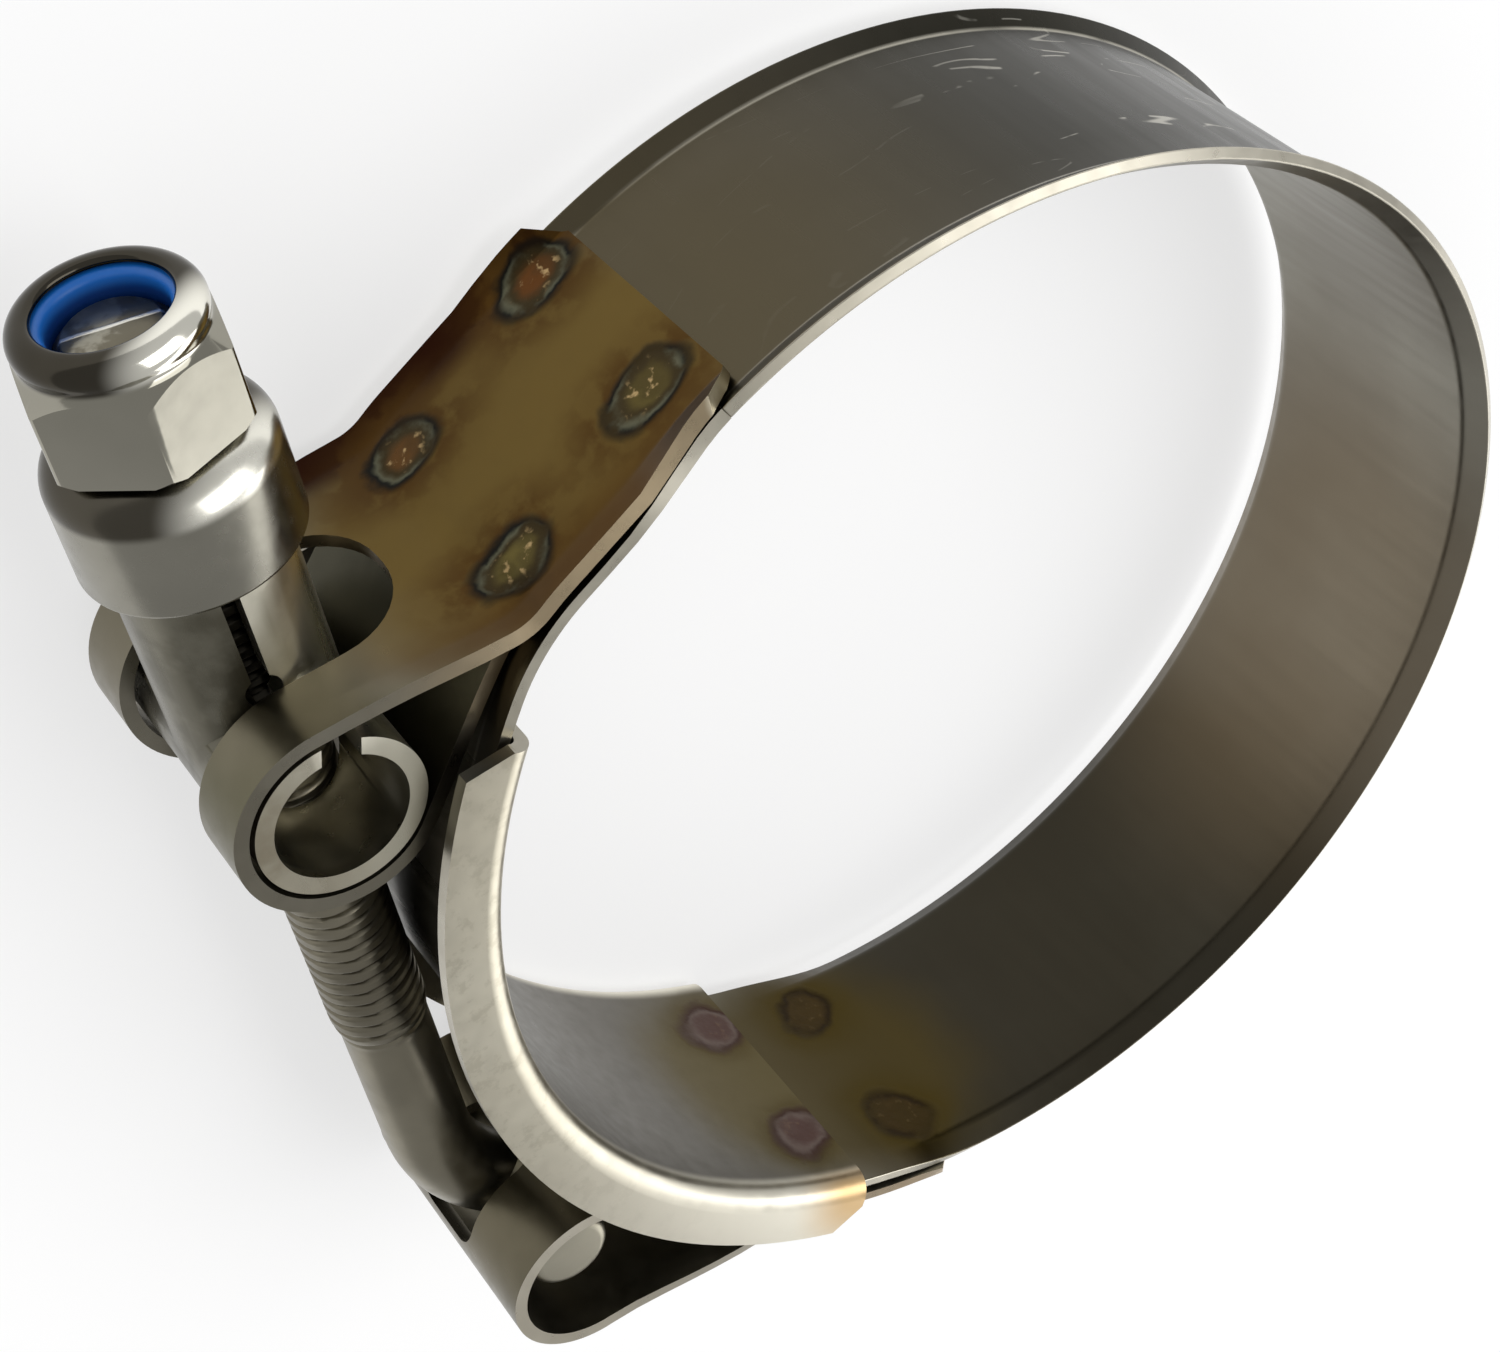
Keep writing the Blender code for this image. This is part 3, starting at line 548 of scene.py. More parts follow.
def shoulder(start, full, painted_shade, reach):
    """Painted light on a rounded shoulder: a painted dark reflection all round, and a painted highlight on the side
    up and towards the ring.
    """
    def marks(paint, colour, height):
        facing = (paint.axis(0) - nut_base.x) * 0.5 + paint.across * 0.87
        mottle = 0.85 + 0.15 * paint.noise(120.0, 3.0)
        # Painted highlight where the shoulder faces up and towards the ring, painted dark reflection elsewhere on it.
        tint = paint.mix(paint.step(facing, 0.5 * reach, 0.9 * reach), painted_shade, (0.95, 0.93, 0.83))
        return paint.mix(paint.step(paint.axis(1), start, full) * mottle, colour, tint), height
    return marks


def sleeve_sides(paint, colour, height):
    """The side away from the ring is painted in mottled shade, the sleeve beside the ring with a painted highlight;
    the sleeve gets dark dirt specks, and the tube's ends away from the ring are darker and browner.
    """
    painted_shade = 1.0 - paint.step(paint.axis(0), trunnion_middle.x - 0.6 * MM, trunnion_middle.x - 0.3 * MM)
    sleeve = paint.step(paint.axis(1), trunnion_middle.y + 3.0 * MM, trunnion_middle.y + 4.5 * MM)
    below = paint.step(paint.axis(1), trunnion_middle.y - 4.0 * MM, trunnion_middle.y - 2.0 * MM)
    wall = paint.near(abs(paint.across), 0.93 * (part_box("trunnion")[1].z - ring_middle.z), 0.03)
    mottle = paint.step(paint.noise(320.0, 4.0), 0.4, 0.6)
    # Painted highlight on the sleeve beside the ring.
    bright = (1.0 - painted_shade) * sleeve
    colour = paint.mix(bright, colour, (0.97, 0.93, 0.78))
    colour = paint.mix(sleeve * mottle * 0.25, colour, (0.3, 0.28, 0.21))
    # Painted shade, mottled, on the side away from the ring.
    mottled_shade = paint.mix(mottle, (0.17, 0.16, 0.124), (0.118, 0.11, 0.082))
    away_from_ring = 1.0 - paint.step(paint.axis(0), trunnion_middle.x - 5.0 * MM, trunnion_middle.x + 3.0 * MM)
    colour = paint.mix((1.0 - wall) * away_from_ring * (0.65 + 0.35 * mottle), colour, (0.3, 0.265, 0.195))
    return paint.mix(painted_shade * below * wall, colour, mottled_shade), height + sleeve * mottle * 1.2


def tuck_shade(paint, colour, height):
    """Painted shade on the upper strap's tucked end, where it lies under the loop."""
    tuck = place(TRUNNION[0] + 1.6 * MM, TRUNNION[1] - 8.1 * MM)
    away = paint.distance(tuck) + (paint.noise(260.0, 3.0) - 0.5) * 5.0 * MM
    colour = paint.mix(paint.near(away, 11.0 * MM, 0.3) * 0.95, colour, (0.085, 0.08, 0.054))
    return paint.mix(paint.near(away, 5.0 * MM, 0.5) * 0.8, colour, (0.05, 0.047, 0.03)), height


def lower_heat(paint, colour, height):
    warm = paint.near(paint.distance(warm_middle) + (paint.noise(90.0, 3.0) - 0.5) * 6.0 * MM, 14.0 * MM, 0.3)
    return paint.mix(warm, colour, (0.25, 0.16, 0.054)), height


def band_heat(paint, colour, height):
    """The inside of the band: brown by the lower welds, and a painted dark reflection on one stretch of the ring."""
    painted_reflection = paint.distance(place(*polar(RING, BAND_MID, -104.0))) + (paint.noise(40.0, 3.0) - 0.5) * 10.0 * MM
    # Painted dark reflection on the inside of the band.
    colour = paint.mix(paint.near(painted_reflection, 24.0 * MM, 0.3) * 0.9, colour, (0.024, 0.0195, 0.0105))
    brown = paint.near(paint.distance(place(*polar(RING, BAND_MID, -152.0))), 17.0 * MM, 0.6)
    colour = paint.mix(brown * 0.65, colour, (0.172, 0.13, 0.078))
    warm = paint.near(paint.distance(warm_middle) + (paint.noise(90.0, 3.0) - 0.5) * 6.0 * MM, 10.5 * MM, 0.35)
    colour = paint.mix(warm * 0.9, colour, (0.07, 0.051, 0.016))
    return weld_marks(paint, colour, height, band_welds, 2.2 * MM, BAND_WELD, 0.05)


def bridge_heat(paint, colour, height):
    """Pale flanges, a web painted darker as painted shade, two welds, a painted highlight on the flanges at the lower
    end, and gold there.
    """
    web = 1.0 - paint.step(abs(paint.across), flange_half - 1.6 * MM, flange_half - 0.2 * MM)
    # Painted shade on the web, reaching into the folds.
    colour = paint.mix(web, colour, (0.14, 0.13, 0.11))
    end = place(*polar(RING, BRIDGE_MID, BRIDGE_LOWER_END))
    warm = paint.near(paint.distance(end) + (paint.noise(90.0, 3.0) - 0.5) * 5.0 * MM, 9.5 * MM, 0.35)
    colour = paint.mix(warm * web, colour, (0.11, 0.087, 0.037))
    worn = paint.step(paint.noise(600.0, 5.0, (1.0, 1.0, 0.6), 0.75), 0.5, 0.62)
    colour = paint.mix(worn * (1.0 - web) * 0.35, colour, (0.36, 0.33, 0.25))
    low_highlight = paint.near(paint.distance(end), 22.0 * MM, 0.6)
    # Painted highlight on the flanges near the lower end.
    colour = paint.mix(low_highlight * (1.0 - web), colour, (0.86, 0.82, 0.7))
    gold = paint.near(paint.distance(end + Vector((0, 0, flange_half))), 4.0 * MM, 0.6)
    colour = paint.mix(gold * (1.0 - web) * 0.8, colour, (0.62, 0.38, 0.13))
    return weld_marks(paint, colour, height, bridge_welds, 2.45 * MM, BRIDGE_WELD, 0.05)


def scratches(paint, colour, height):
    """A few bright handling scratches, thickest on one stretch of the band, with a patch of painted shade, a painted
    highlight along the rims' fold and brown near the welds.
    """
    thin = abs(paint.noise(260.0, 1.0, (0.16, 0.5, 1.0)) - 0.5)
    line = paint.near(thin, 0.005, 0.6)
    shade = paint.near(paint.distance(place(*polar(RING, BAND_MID, 126.0))), 22.0 * MM, 0.6)
    # Painted shade on one stretch of the band's outside.
    colour = paint.mix(shade, colour, (0.034, 0.032, 0.024))
    crowd = paint.near(paint.distance(place(*polar(RING, BAND_MID, 118.0))), 9.0 * MM, 0.7)
    patch = paint.step(paint.noise(420.0, 2.0), 0.51, 0.58)
    colour = paint.mix(line * patch * (crowd * 0.85 + 0.05), colour, (0.5, 0.48, 0.42))
    fold = abs(abs(paint.across) - BAND_HALF + FLARE_WIDTH + 0.05 * MM)
    painted_reflection = paint.near(fold, 0.1 * MM, 0.8) * paint.step(paint.noise(150.0, 3.0), 0.25, 0.5)
    # Painted highlight along the fold of the rims, broken into patches.
    colour = paint.mix(painted_reflection * 0.8, colour, (0.5, 0.475, 0.4))
    brown = paint.near(paint.distance(weld_middle), 22.0 * MM, 0.5)
    return paint.mix(brown * 0.7, colour, (0.11, 0.088, 0.048)), height - line * patch


# %% Name the steels
along_z = (1.0, 1.0, 0.08)
along_bolt = (1.0, 0.1, 1.0)
band_outside = steel("band_outside", (0.099, 0.091, 0.073), (0.078, 0.071, 0.054), 0.3, stretch=along_z,
                     marks=scratches)
band_inside = steel("band_inside", (0.275, 0.262, 0.22), (0.22, 0.205, 0.17), 0.34, stretch=along_z,
                    marks=band_heat)
cut_edge = steel("cut_edge", (0.54, 0.51, 0.43), (0.38, 0.355, 0.29), 0.3)
warm_edge = steel("warm_edge", (0.22, 0.205, 0.163), (0.165, 0.152, 0.118), 0.3,
                  marks=upper_edges)
lower_edge = steel("lower_edge", (0.66, 0.62, 0.52), (0.5, 0.46, 0.37), 0.3,
                   marks=lower_edges)
bridge_face = steel("bridge_face", (0.6, 0.565, 0.46), (0.5, 0.465, 0.37), 0.33, marks=bridge_heat)
upper_face = steel("upper_face", (0.19, 0.17, 0.12), (0.13, 0.12, 0.076), 0.33, marks=upper_heat)
lower_face = steel("lower_face", (0.16, 0.14, 0.095), (0.1, 0.09, 0.06), 0.32, marks=lower_heat)
strap_inside = steel("strap_inside", (0.27, 0.248, 0.19), (0.17, 0.156, 0.117), 0.35, marks=tuck_shade)
trunnion_steel = steel("trunnion_steel", (0.72, 0.69, 0.57), (0.5, 0.475, 0.38), 0.3, stretch=along_bolt,
                       marks=sleeve_sides)
bolt_steel = steel("bolt_steel", (0.27, 0.247, 0.187), (0.16, 0.145, 0.108), 0.34, marks=end_line)
# A lighter copy of the bolt's steel for the cross bar: painted light where the loop shades it.
lit_bar_steel = steel("lit_bar_steel", (0.5, 0.47, 0.38), (0.38, 0.355, 0.28), 0.36)
cap_top, nut_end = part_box("collar_cap")[1].y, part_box("lock_nut")[1].y
# The cap's and nut's shoulders get a painted dark reflection and a painted highlight.
cap_steel = steel("cap_steel", (0.29, 0.278, 0.235), (0.235, 0.225, 0.188), 0.25,
                  marks=shoulder(cap_top - 2.3 * MM, cap_top - 1.7 * MM, (0.06, 0.053, 0.04), 6.0 * MM))
nut_steel = steel("nut_steel", (0.36, 0.345, 0.29), (0.3, 0.288, 0.24), 0.13, 0.03,
                  marks=shoulder(nut_end - 1.95 * MM, nut_end - 1.6 * MM, (0.035, 0.03, 0.022), 4.85 * MM))
nylon = Paint("blue_nylon", 0.4, 0.0)
# Painted shade: the nylon is darker deeper in the nut's pocket.
lit_mouth = nylon.step(nylon.axis(1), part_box("nylon_ring")[1].y - 1.1 * MM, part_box("nylon_ring")[1].y - 0.35 * MM)
nylon.set("Base Color", nylon.mix(lit_mouth, (0.002, 0.035, 0.19), (0.008, 0.14, 0.53)))
print(len(bpy.data.materials), "materials")

# %% [markdown]
# ## The band
# One long strip, rolled into a ring. It leaves the ring on a straight run, bends back
# over a shoulder and ends on the bridge, so that it can slide as the clamp closes.

# %% Roll the band
BAND_SPLIT = 66.0


def band_section(distance, u, n):
    return rim_section(BAND_HALF, 0.0, flare_share(u, n))


band_steels = [band_outside.material, band_inside.material, cut_edge.material]
ring_rows = walk(polar(RING, BAND_MID, BAND_LOWER_END), 180.0 - BAND_LOWER_END,
                 [bend(BAND_MID, 360.0 + BAND_LOWER_END - BAND_SPLIT)])
band = sheet("band_dressed", ring_rows, band_section, BAND_THICKNESS, 1, None, "band", band_steels)
bake(band)
apply_all(band)

# %% [markdown]
# Closing the clamp bends the ring, so the band is two pieces that meet under the upper
# strap. The lap rides with that strap.

# %% Let the lap ride with the upper strap
lowest, highest = (place(polar(RING, BAND_MID, angle)[0], 0.0) for angle in (BAND_LOWER_END, BAND_SPLIT))
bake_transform(band)
lap_rows = walk(
    polar(RING, BAND_MID, BAND_SPLIT), 180.0 - BAND_SPLIT,
    [bend(BAND_MID, BAND_SPLIT - SHOULDER_START), run(SHOULDER_RUN),
     bend(SHOULDER_RADIUS, SHOULDER_START - SHOULDER_UPPER_ANGLE),
     bend(BAND_MID + BRIDGE_OFFSET, SHOULDER_UPPER_ANGLE - BAND_UPPER_END)])
lap = sheet("band_lap", lap_rows, band_section, BAND_THICKNESS, 1, "upper_end", None, band_steels)
cut_corners(lap, lap_rows[-1][:2], BAND_UPPER_END, 2.2 * MM)
bake(lap, 0.05 * MM)

# %% [markdown]
# ## The bridge
# A channel under the band's sliding end. Its flanges keep the band in line, and its
# web makes the ring's inside round across the gap.

# %% Form the bridge
bridge_rows = walk(
    polar(RING, BRIDGE_MID, BRIDGE_LOWER_END), -BRIDGE_LOWER_END,
    [bend(BRIDGE_MID, BRIDGE_LOWER_END - BRIDGE_OFFSET_ANGLE),
     bend(BRIDGE_MID + BRIDGE_OFFSET, BRIDGE_OFFSET_ANGLE - BRIDGE_UPPER_END)])
fold = 1.1 * MM
flange_rise = 3.6 * MM
corner = [(flange_half - fold + fold * math.sin(math.radians(a)), fold - fold * math.cos(math.radians(a)))
          for a in range(0, 91, 10)]
half_channel = [(flange_half * 0.45, 0.0)] + corner + [(flange_half, flange_rise)]
channel = [(-z, height) for z, height in reversed(half_channel)] + [(0.0, 0.0)] + half_channel
bridge = sheet("bridge_dressed", bridge_rows, lambda distance, u, n: channel, BRIDGE_THICKNESS, -1,
               "clamp", "bridge", [bridge_face.material, bridge_face.material, cut_edge.material])
CUT_REACH = 8.0 * MM


def slant_end(name, corner, end, slant, side):
    """Lean the end of the flanges back from a corner point; side 1 is the end towards the nut."""
    lean = end - side * slant
    middle = polar(polar(corner, CUT_REACH / 2, lean), CUT_REACH / 2, lean + side * 90.0)
    cut(bridge, name, place(*middle), (CUT_REACH, CUT_REACH, 8 * BAND_HALF), (0.0, 0.0, outward_turn(lean)))


above_web = BRIDGE_MID + BRIDGE_THICKNESS / 2 + 0.7 * MM
slant_end("upper_slant", polar(BRIDGE_CENTRE, above_web + BRIDGE_OFFSET, BRIDGE_UPPER_END), BRIDGE_UPPER_END, 33.0, 1)
slant_end("lower_slant", polar(RING, BRIDGE_MID + 1.7 * MM, BRIDGE_LOWER_END), BRIDGE_LOWER_END, 45.0, -1)
bake(bridge)

# %% [markdown]
# ## The straps
# Each strap lies on the band, runs out, folds round its pin and tucks its short end
# back under. The heat of the spot welds has coloured the outer leg.

# %% Lay out a strap's width
loop_half = (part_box("trunnion")[1].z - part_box("trunnion")[0].z) / 2


def strap_section(loop_starts, loop_ends):
    def section(distance, u, n):
        half = BAND_HALF - (BAND_HALF - loop_half) * ramp(distance, 0.6 * loop_starts, loop_starts)
        half -= 0.6 * MM * ramp(distance, 0.8 * loop_ends, loop_ends)
        crease = 0.3 * (1.0 - ramp(distance, 0.75 * loop_starts, loop_starts))
        return rim_section(half, STRAP_LIFT, max(crease, flare_share(u, n)))
    return section


# %% Fold the upper strap
trunnion_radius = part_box("trunnion")[1].x - trunnion_middle.x
upper_loop = trunnion_radius + 0.3 * MM + STRAP_THICKNESS / 2
shoulder_mid = SHOULDER_RADIUS + STRAP_LIFT
foot = shoulder_mid + 4 * MM
leaves = math.degrees(math.asin((TRUNNION[0] + upper_loop + 4 * MM - SHOULDER[0]) / foot))
heading, tangent = crossed_tangent(TRUNNION, upper_loop, SHOULDER, shoulder_mid, 1)
before = [bend(BAND_MID + STRAP_LIFT, UPPER_STRAP_END - SHOULDER_START), run(SHOULDER_RUN),
          bend(shoulder_mid, SHOULDER_START - leaves), bend(4 * MM, leaves - 90.0),
          run(TRUNNION[1] - SHOULDER[1] - foot * math.cos(math.radians(leaves)))]
around = bend(upper_loop, 270.0 + heading)
upper_start = polar(RING, BAND_MID + STRAP_LIFT, UPPER_STRAP_END)
upper_rows = walk(upper_start, 180.0 - UPPER_STRAP_END, before + [around, run(tangent), bend(shoulder_mid, -6.7)])
reached = sum(length for length, turn in before)
upper_strap = sheet("upper_strap_dressed", upper_rows, strap_section(reached, reached + around[0] + tangent),
                    STRAP_THICKNESS, 1, "upper_end", "upper_strap",
                    [upper_face.material, strap_inside.material, warm_edge.material])
u, n = TRUNNION
cut(upper_strap, "leg_slot", place(u + upper_loop - STRAP_THICKNESS + 4 * MM, n - 8.65 * MM + 12 * MM),
    (24 * MM, 8 * MM, 10 * MM), round_axis=1, radius=4.6 * MM)
cut(upper_strap, "loop_slot", place(u, n - 3.65 * MM + 12 * MM), (24 * MM, 24 * MM, 10 * MM),
    round_axis=1, radius=4.6 * MM)
cut_corners(upper_strap, upper_start, UPPER_STRAP_END, 2.3 * MM)
bake(upper_strap, 0.14 * MM)

# %% Fold the lower strap
LOOP = polar(HEAD, 1.875 * MM, 270.0 - 22.0)
lower_loop = 1.875 * MM + 2.75 * MM + 0.3 * MM + STRAP_THICKNESS / 2
strap_mid = BAND_MID + STRAP_LIFT
foot = strap_mid + 4 * MM
leaves = math.degrees(math.asin((LOOP[0] - lower_loop - 4 * MM) / foot))
heading, tangent = crossed_tangent(LOOP, lower_loop, RING, strap_mid, -1)
before = [bend(strap_mid, LOWER_STRAP_END - leaves), bend(4 * MM, 90.0 + leaves),
          run(LOOP[1] - foot * math.cos(math.radians(leaves)))]
around = bend(lower_loop, heading - 90.0)
lower_start = polar(RING, strap_mid, LOWER_STRAP_END)
lower_rows = walk(lower_start, -LOWER_STRAP_END, before + [around, run(tangent), bend(strap_mid, 3.9)])
reached = sum(length for length, turn in before)
lower_strap = sheet("lower_strap_dressed", lower_rows, strap_section(reached, reached + around[0] + tangent),
                    STRAP_THICKNESS, -1, "clamp", "lower_strap",
                    [lower_face.material, strap_inside.material, lower_edge.material])
cut(lower_strap, "shank_slot", place(*polar(LOOP, 8 * MM, 52.5)), (9 * MM, 7.9 * MM, 6.4 * MM),
    (0.0, 0.0, outward_turn(52.5)), round_axis=0, radius=1.5 * MM)
cut_corners(lower_strap, lower_start, LOWER_STRAP_END, 2.3 * MM)
bake(lower_strap, 0.14 * MM)

# %% [markdown]
# ## The T-bolt
# A rod with a rolled thread, bent once near its head so that it lies close to the
# ring. The tube is one long grid wrapped round the path, and its thread is a wave
# that climbs one pitch for each turn.

# %% Bend and thread the bolt
THREAD_RADIUS, SHANK_RADIUS = 2.95 * MM, 2.675 * MM
THREAD_DEPTH = 0.5 * MM
PITCH = 1.0 * MM
BEND_RADIUS = 12.0 * MM
AROUND = 40
bolt_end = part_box("t_bolt")[1].y
bend_turn = math.degrees(math.acos(1 - (TRUNNION[1] - HEAD[1]) / BEND_RADIUS))
bend_place = HEAD[0] + BEND_RADIUS * math.sin(math.radians(bend_turn))
thread_place = TRUNNION[0] - 25.1 * MM
end_place = bolt_end - ring_middle.y
bolt_rows = walk(HEAD, bend_turn, [bend(BEND_RADIUS, -bend_turn), run(thread_place - PITCH - bend_place)])
bolt_rows += walk(bolt_rows[-1][:2], 0.0, [run(end_place - thread_place + PITCH)], longest=PITCH / 9)[1:]


def bolt_radius(u, turn):
    """Radius of the rod: a plain shank, then a thread that runs out at both ends."""
    threaded = ramp(u, thread_place - PITCH, thread_place + PITCH)
    radius = SHANK_RADIUS + (THREAD_RADIUS - SHANK_RADIUS) * threaded
    phase = (u / PITCH - turn) % 1.0
    wave = min(1.0, 2.6 * abs(phase - 0.5) / 0.5)
    radius -= THREAD_DEPTH * threaded * (1.0 - wave)
    return min(radius, THREAD_RADIUS - 0.55 * MM + max(0.0, end_place - u))


bm = bmesh.new()
bmesh.ops.create_grid(bm, x_segments=len(bolt_rows) - 1, y_segments=AROUND, size=1.0)
for vert in bm.verts:
    u, n, heading = bolt_rows[round((vert.co.x + 1) / 2 * (len(bolt_rows) - 1))]
    turn = (vert.co.y + 1) / 2
    radius = bolt_radius(u, turn)
    lean = math.radians(heading + 90.0)
    side, up = radius * math.sin(turn * math.tau), radius * math.cos(turn * math.tau)
    vert.co = place(u + up * math.cos(lean), n + up * math.sin(lean), side)
bmesh.ops.remove_doubles(bm, verts=bm.verts, dist=0.002 * MM)
bmesh.ops.holes_fill(bm, edges=bm.edges, sides=AROUND)
bmesh.ops.recalc_face_normals(bm, faces=bm.faces)
t_bolt = finished("t_bolt_dressed", bm, "bolt", "t_bolt", [bolt_steel.material], 60.0)
print("bolt ends", round(end_place / MM, 1), "mm along")

# %% Add the cross bar
bm = bmesh.new()
bmesh.ops.create_cone(bm, cap_ends=True, segments=64, radius1=2.75 * MM, radius2=2.75 * MM, depth=16 * MM)
rims = [e for e in bm.edges if abs(e.verts[0].co.z - e.verts[1].co.z) < MM / 10]
bmesh.ops.bevel(bm, geom=rims, offset=0.7 * MM, segments=6, profile=0.5, affect="EDGES", material=-1)
bmesh.ops.translate(bm, vec=head_middle, verts=bm.verts)
cross_bar = finished("cross_bar", bm, "bolt", None, [lit_bar_steel.material])

# %% [markdown]
# ## The trunnion
# A strip rolled into a tube, with its two lips drawn out as half sleeves round the
# bolt. Solid shapes joined and cut give it the same slit, notch and seam as the solid
# part, and a bevel rounds every lip.

# %% Roll the trunnion
def solid_rod(radius, length, centre, axis, segments=96):
    bm = bmesh.new()
    turn = Vector((0, 0, 1)).rotation_difference(Vector(axis)).to_matrix().to_4x4()
    bmesh.ops.create_cone(bm, cap_ends=True, segments=segments, radius1=radius, radius2=radius,
                          depth=length, matrix=Matrix.Translation(centre) @ turn)
    return bm


def with_rod(obj, name, radius, length, centre, axis, operation="DIFFERENCE", segments=96):
    mesh = bpy.data.meshes.new(name)
    bm = solid_rod(radius, length, centre, axis, segments)
    bm.to_mesh(mesh)
    bm.free()
    cutter = bpy.data.objects.new(name, mesh)
    bpy.context.scene.collection.objects.link(cutter)
    step = obj.modifiers.new(name, "BOOLEAN")
    step.operation = operation
    step.solver = "EXACT"
    step.object = cutter
    cutters.append(cutter)


sleeve_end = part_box("trunnion")[1].y - trunnion_middle.y
bm = solid_rod(trunnion_radius, 2 * loop_half, trunnion_middle, (0, 0, 1))
trunnion = finished("trunnion_dressed", bm, "cross_tube", "trunnion", [trunnion_steel.material])
half = Vector((0, sleeve_end / 2, 0))
with_rod(trunnion, "sleeve_body", 4.75 * MM, sleeve_end, trunnion_middle + half, (0, 1, 0), "UNION")
with_rod(trunnion, "tube_bore", 3.8 * MM, 40 * MM, trunnion_middle, (0, 0, 1))
with_rod(trunnion, "bolt_bore", 3.35 * MM, 80 * MM, trunnion_middle, (0, 1, 0))
beside = Vector((-0.45 * MM, 0, 0))
cut(trunnion, "sleeve_slit", trunnion_middle + half + beside + Vector((0, 2.5 * MM, 0)),
    (1.0 * MM, sleeve_end, 10.1 * MM))
with_rod(trunnion, "slit_notch", 1.0 * MM, 30 * MM, trunnion_middle + beside + Vector((0, 6.05 * MM, 0)), (0, 0, 1))
for side in (-1, 1):
    seam = polar(TRUNNION, trunnion_radius, 105.0)
    cut(trunnion, f"tube_seam_{side}", place(*seam, side * (5.05 * MM + 4.55 * MM)),
        (2 * trunnion_radius, 2.2 * MM, 9.1 * MM), (0.0, 0.0, outward_turn(105.0)))
bake(trunnion, 0.12 * MM)

# %% [markdown]
# ## The cap, the nut and its ring
# All three were turned on a lathe or pressed round, so each is a profile spun round
# the bolt. The nut's profile is then trimmed by a six-sided bar, which leaves the
# curved edges where its flats meet the chamfer.

# %% Turn a profile round the bolt
def quarter(centre, radius, start, end, steps=14):
    angles = [math.radians(start + (end - start) * i / steps) for i in range(steps + 1)]
    return [(centre[0] + radius * math.cos(a), centre[1] + radius * math.sin(a)) for a in angles]


def turned(name, profile, base, body, node, materials, smooth=35.0):
    bm = bmesh.new()
    verts = [bm.verts.new((radius, 0.0, height)) for radius, height in profile]
    edges = [bm.edges.new((a, b)) for a, b in zip(verts, verts[1:] + verts[:1])]
    bmesh.ops.spin(bm, geom=verts + edges, cent=(0, 0, 0), axis=(0, 0, 1), angle=math.tau, steps=128,
                   use_merge=True)
    bmesh.ops.remove_doubles(bm, verts=bm.verts, dist=0.001 * MM)
    bmesh.ops.transform(bm, matrix=Matrix.Translation(base) @ Matrix.Rotation(-math.pi / 2, 4, "X"), verts=bm.verts)
    bmesh.ops.recalc_face_normals(bm, faces=bm.faces)
    return finished(name, bm, body, node, materials, smooth)


# %% Press the cap
cap_low, cap_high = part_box("collar_cap")
cap_radius, cap_height = (cap_high.x - cap_low.x) / 2, cap_high.y - cap_low.y
cap_base = Vector((trunnion_middle.x, cap_low.y, trunnion_middle.z))
middle = (cap_radius - 1.9 * MM, cap_height - 1.9 * MM)
profile = [(3.25 * MM, cap_height)] + quarter(middle, 1.9 * MM, 90.0, 0.0)
profile += quarter((cap_radius - 0.3 * MM, 0.3 * MM), 0.3 * MM, 0.0, -90.0, 5)
profile += [(cap_radius - 0.85 * MM, 0.0)] + quarter(middle, 1.05 * MM, 0.0, 90.0)
profile += [(3.25 * MM, cap_height - 0.85 * MM)]
cap = turned("collar_cap_dressed", profile, cap_base, "cap", "collar_cap", [cap_steel.material])

# %% Cut the lock nut
HEX_CORNER = 9.8 * MM / math.sqrt(3)
NUT_TURN = -11.7
nut_foot = Vector((nut_base.x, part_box("lock_nut")[0].y, nut_base.z))
nut_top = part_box("lock_nut")[1].y - nut_foot.y
ceiling, floor = nut_top - 0.3 * MM, nut_top - 2.6 * MM
profile = [(3.4 * MM, nut_top - 0.35 * MM)] + quarter((3.75 * MM, nut_top - 0.35 * MM), 0.35 * MM, 180.0, 90.0, 6)
profile += quarter((4.85 * MM - 1.05 * MM, nut_top - 1.05 * MM), 1.05 * MM, 90.0, -25.0)
profile += [(4.72 * MM, 5.55 * MM), (4.72 * MM, 5.35 * MM), (4.82 * MM, 5.15 * MM), (HEX_CORNER + 0.1 * MM, 4.2 * MM)]
profile += [(HEX_CORNER + 0.1 * MM, 0.5 * MM), (5.26 * MM, 0.0), (3.25 * MM, 0.0), (3.25 * MM, floor)]
profile += [(4.15 * MM, floor), (4.15 * MM, ceiling), (3.4 * MM, ceiling)]
nut = turned("lock_nut_dressed", profile, nut_foot, "nut", "lock_nut", [nut_steel.material])
hexagon = solid_rod(HEX_CORNER, 30 * MM, (0, 0, 0), (0, 0, 1), 6)
sides = [e for e in hexagon.edges if abs(e.verts[0].co.z - e.verts[1].co.z) > 20 * MM]
bmesh.ops.bevel(hexagon, geom=sides, offset=0.16 * MM, segments=4, profile=0.5, affect="EDGES", material=-1)
stand = Matrix.Translation(nut_foot) @ Matrix.Rotation(math.radians(NUT_TURN), 4, "Y") @ Matrix.Rotation(-math.pi / 2, 4, "X")
bmesh.ops.transform(hexagon, matrix=stand, verts=hexagon.verts)
mesh = bpy.data.meshes.new("nut_hexagon")
hexagon.to_mesh(mesh)
hexagon.free()
bar = bpy.data.objects.new("nut_hexagon", mesh)
bpy.context.scene.collection.objects.link(bar)
cutters.append(bar)
trim = nut.modifiers.new("flats", "BOOLEAN")
trim.operation = "INTERSECT"
trim.solver = "EXACT"
trim.object = bar
bake(nut, 0.1 * MM)

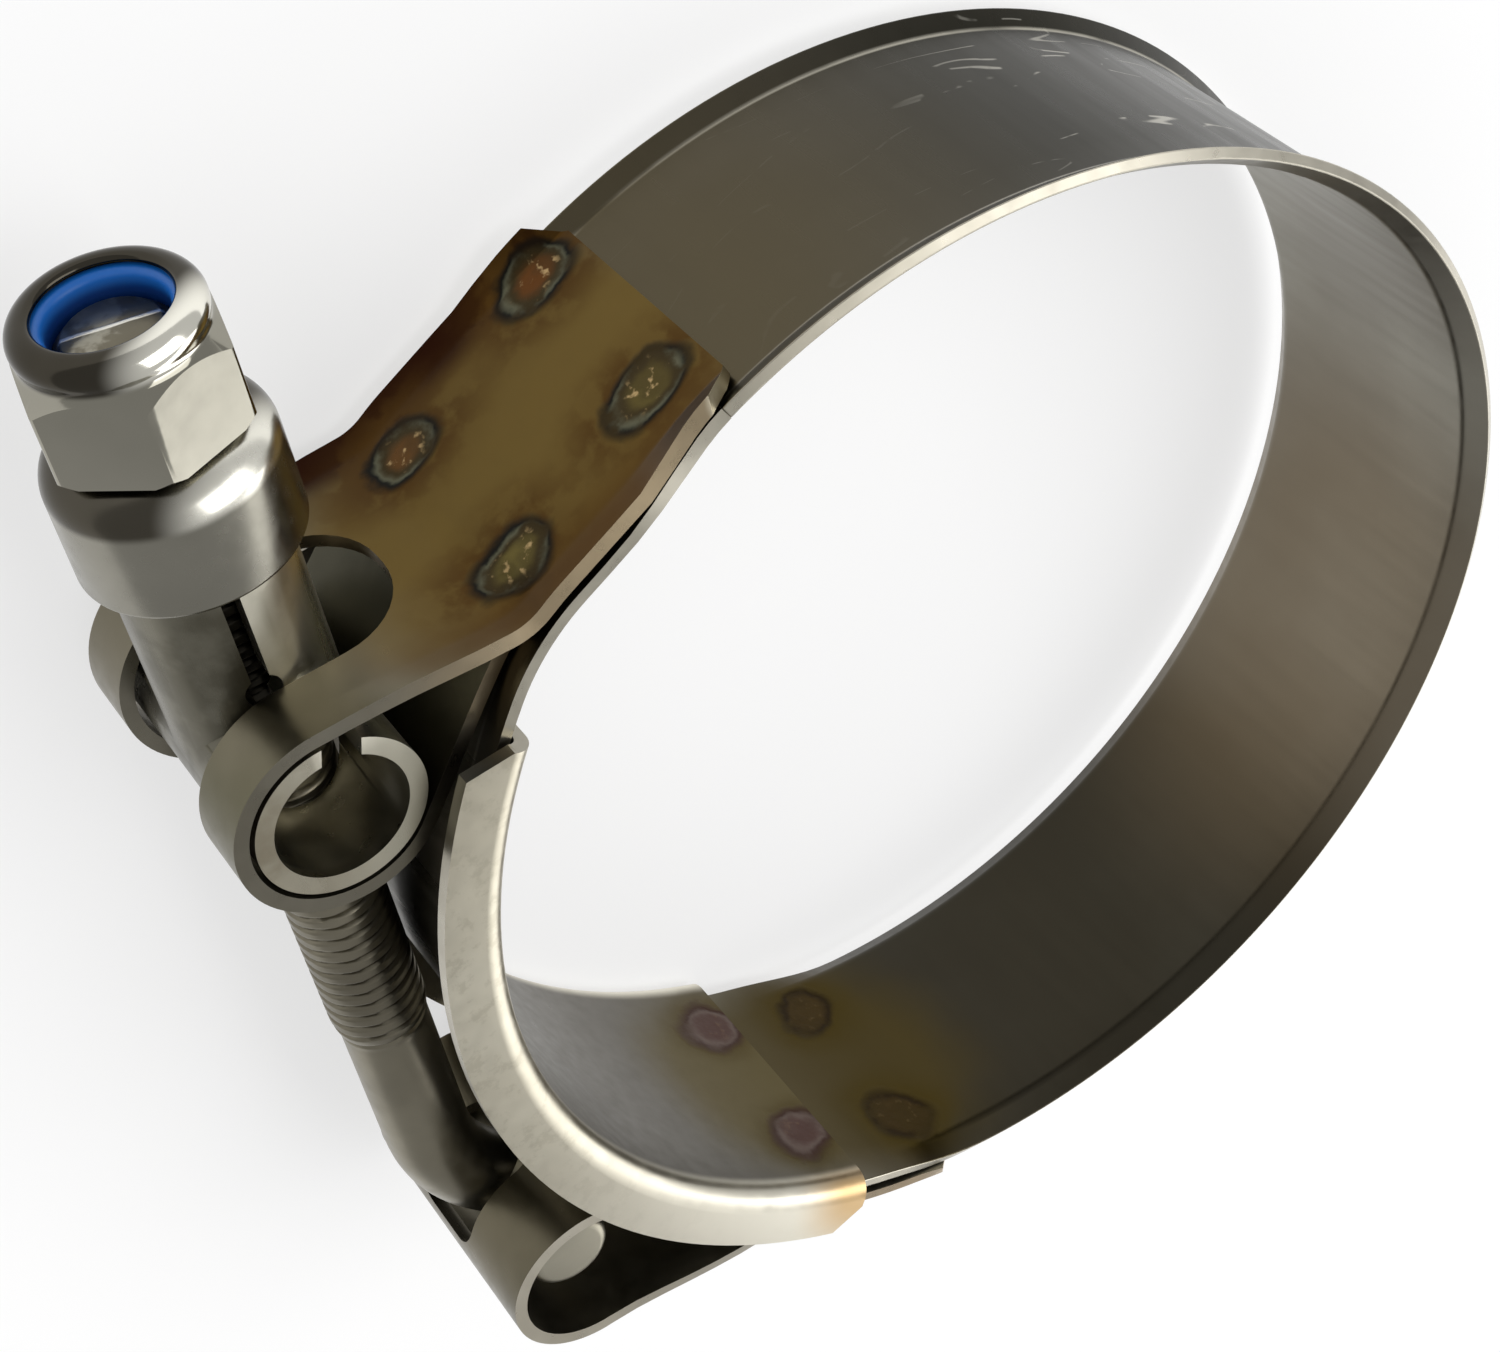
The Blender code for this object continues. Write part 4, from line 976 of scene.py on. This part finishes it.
# %% Press in the nylon ring
ring_low, ring_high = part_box("nylon_ring")
ring_base = Vector((nut_base.x, ring_low.y, nut_base.z))
ring_height = ring_high.y - ring_low.y
outer = (ring_high.x - ring_low.x) / 2
inner = THREAD_RADIUS + 0.1 * MM
profile = [(inner, 0.0), (outer, 0.0)] + quarter((outer - 0.2 * MM, ring_height - 0.2 * MM), 0.2 * MM, 0.0, 90.0, 4)
profile += quarter((inner + 0.45 * MM, ring_height - 0.45 * MM), 0.45 * MM, 90.0, 180.0, 8)
nylon_ring = turned("nylon_ring_dressed", profile, ring_base, "nut", "nylon_ring", [nylon.material])

# %% Clear the cutters away
for cutter in cutters:
    bpy.data.objects.remove(cutter)
print(len(cutters), "cutters removed")

# %% [markdown]
# ## The studio
# A pale floor, a soft box above and a camera at the photograph's angle.

# %% Floor and lamps
floor_paint = Paint("pale_floor", 0.9, 0.0)
floor_paint.set("Base Color", (0.93, 0.93, 0.93, 1.0))
seen = sum((floor_paint.add("ShaderNodeLightPath", out=f"Is {kind} Ray") for kind in ("Glossy", "Transmission")),
           floor_paint.add("ShaderNodeLightPath", out="Is Camera Ray"))
glow = floor_paint.add("ShaderNodeEmission", {}, {"Strength": 1.0})
lit = Flow(floor_paint, floor_paint.shader.outputs["BSDF"])
floor_paint.plug(floor_paint.nodes["Material Output"].inputs["Surface"],
                 floor_paint.add("ShaderNodeMixShader", {}, {0: seen * 0.6, 1: lit, 2: glow}))
bm = bmesh.new()
bmesh.ops.create_grid(bm, x_segments=1, y_segments=1, size=4.0)
mesh = bpy.data.meshes.new("pale_floor")
bm.to_mesh(mesh)
bm.free()
mesh.materials.append(floor_paint.material)
floor_obj = bpy.data.objects.new("pale_floor", mesh)
bpy.context.scene.collection.objects.link(floor_obj)


def soft_box(name, place_at, size, power):
    lamp = bpy.data.lights.new(name, "AREA")
    lamp.shape = "RECTANGLE"
    lamp.size, lamp.size_y = size
    lamp.energy = power
    obj = bpy.data.objects.new(name, lamp)
    bpy.context.scene.collection.objects.link(obj)
    obj.location = place_at
    obj.rotation_euler = (-Vector(place_at)).to_track_quat("-Z", "Y").to_euler()
    return obj


soft_box("side_box", (0.6, -0.65, 0.3), (0.9, 0.6), 2.9)
soft_box("key_box", (0.42, 0.08, 0.78), (0.8, 0.8), 4.6)
fill = soft_box("fill_box", (-0.6, 0.25, 0.55), (0.8, 0.6), 1.6)
fill.visible_glossy = False
world = bpy.data.worlds.new("studio")
bpy.context.scene.world = world
world.use_nodes = True
world.node_tree.nodes["Background"].inputs["Color"].default_value = (0.75, 0.75, 0.75, 1.0)
world.node_tree.nodes["Background"].inputs["Strength"].default_value = 0.68

# %% Camera
camera = bpy.data.cameras.new("camera")
camera.lens = 67.78
camera.sensor_width = 36.0
camera.shift_x, camera.shift_y = 0.0020, -0.0010
camera.clip_start, camera.clip_end = 0.005, 10.0
camera_obj = bpy.data.objects.new("camera", camera)
bpy.context.scene.collection.objects.link(camera_obj)
right = Vector((0.82580, -0.14867, 0.54401))
up = Vector((0.48051, 0.69048, -0.54070))
back = Vector((-0.29524, 0.70791, 0.64164))
turn = Matrix((right, up, back)).transposed().to_4x4()
camera_obj.matrix_world = Matrix.Translation(ring_middle + Vector((-62.33, 124.97, 107.91)) * MM) @ turn
bpy.context.scene.camera = camera_obj
bpy.context.scene.view_settings.view_transform = "Standard"
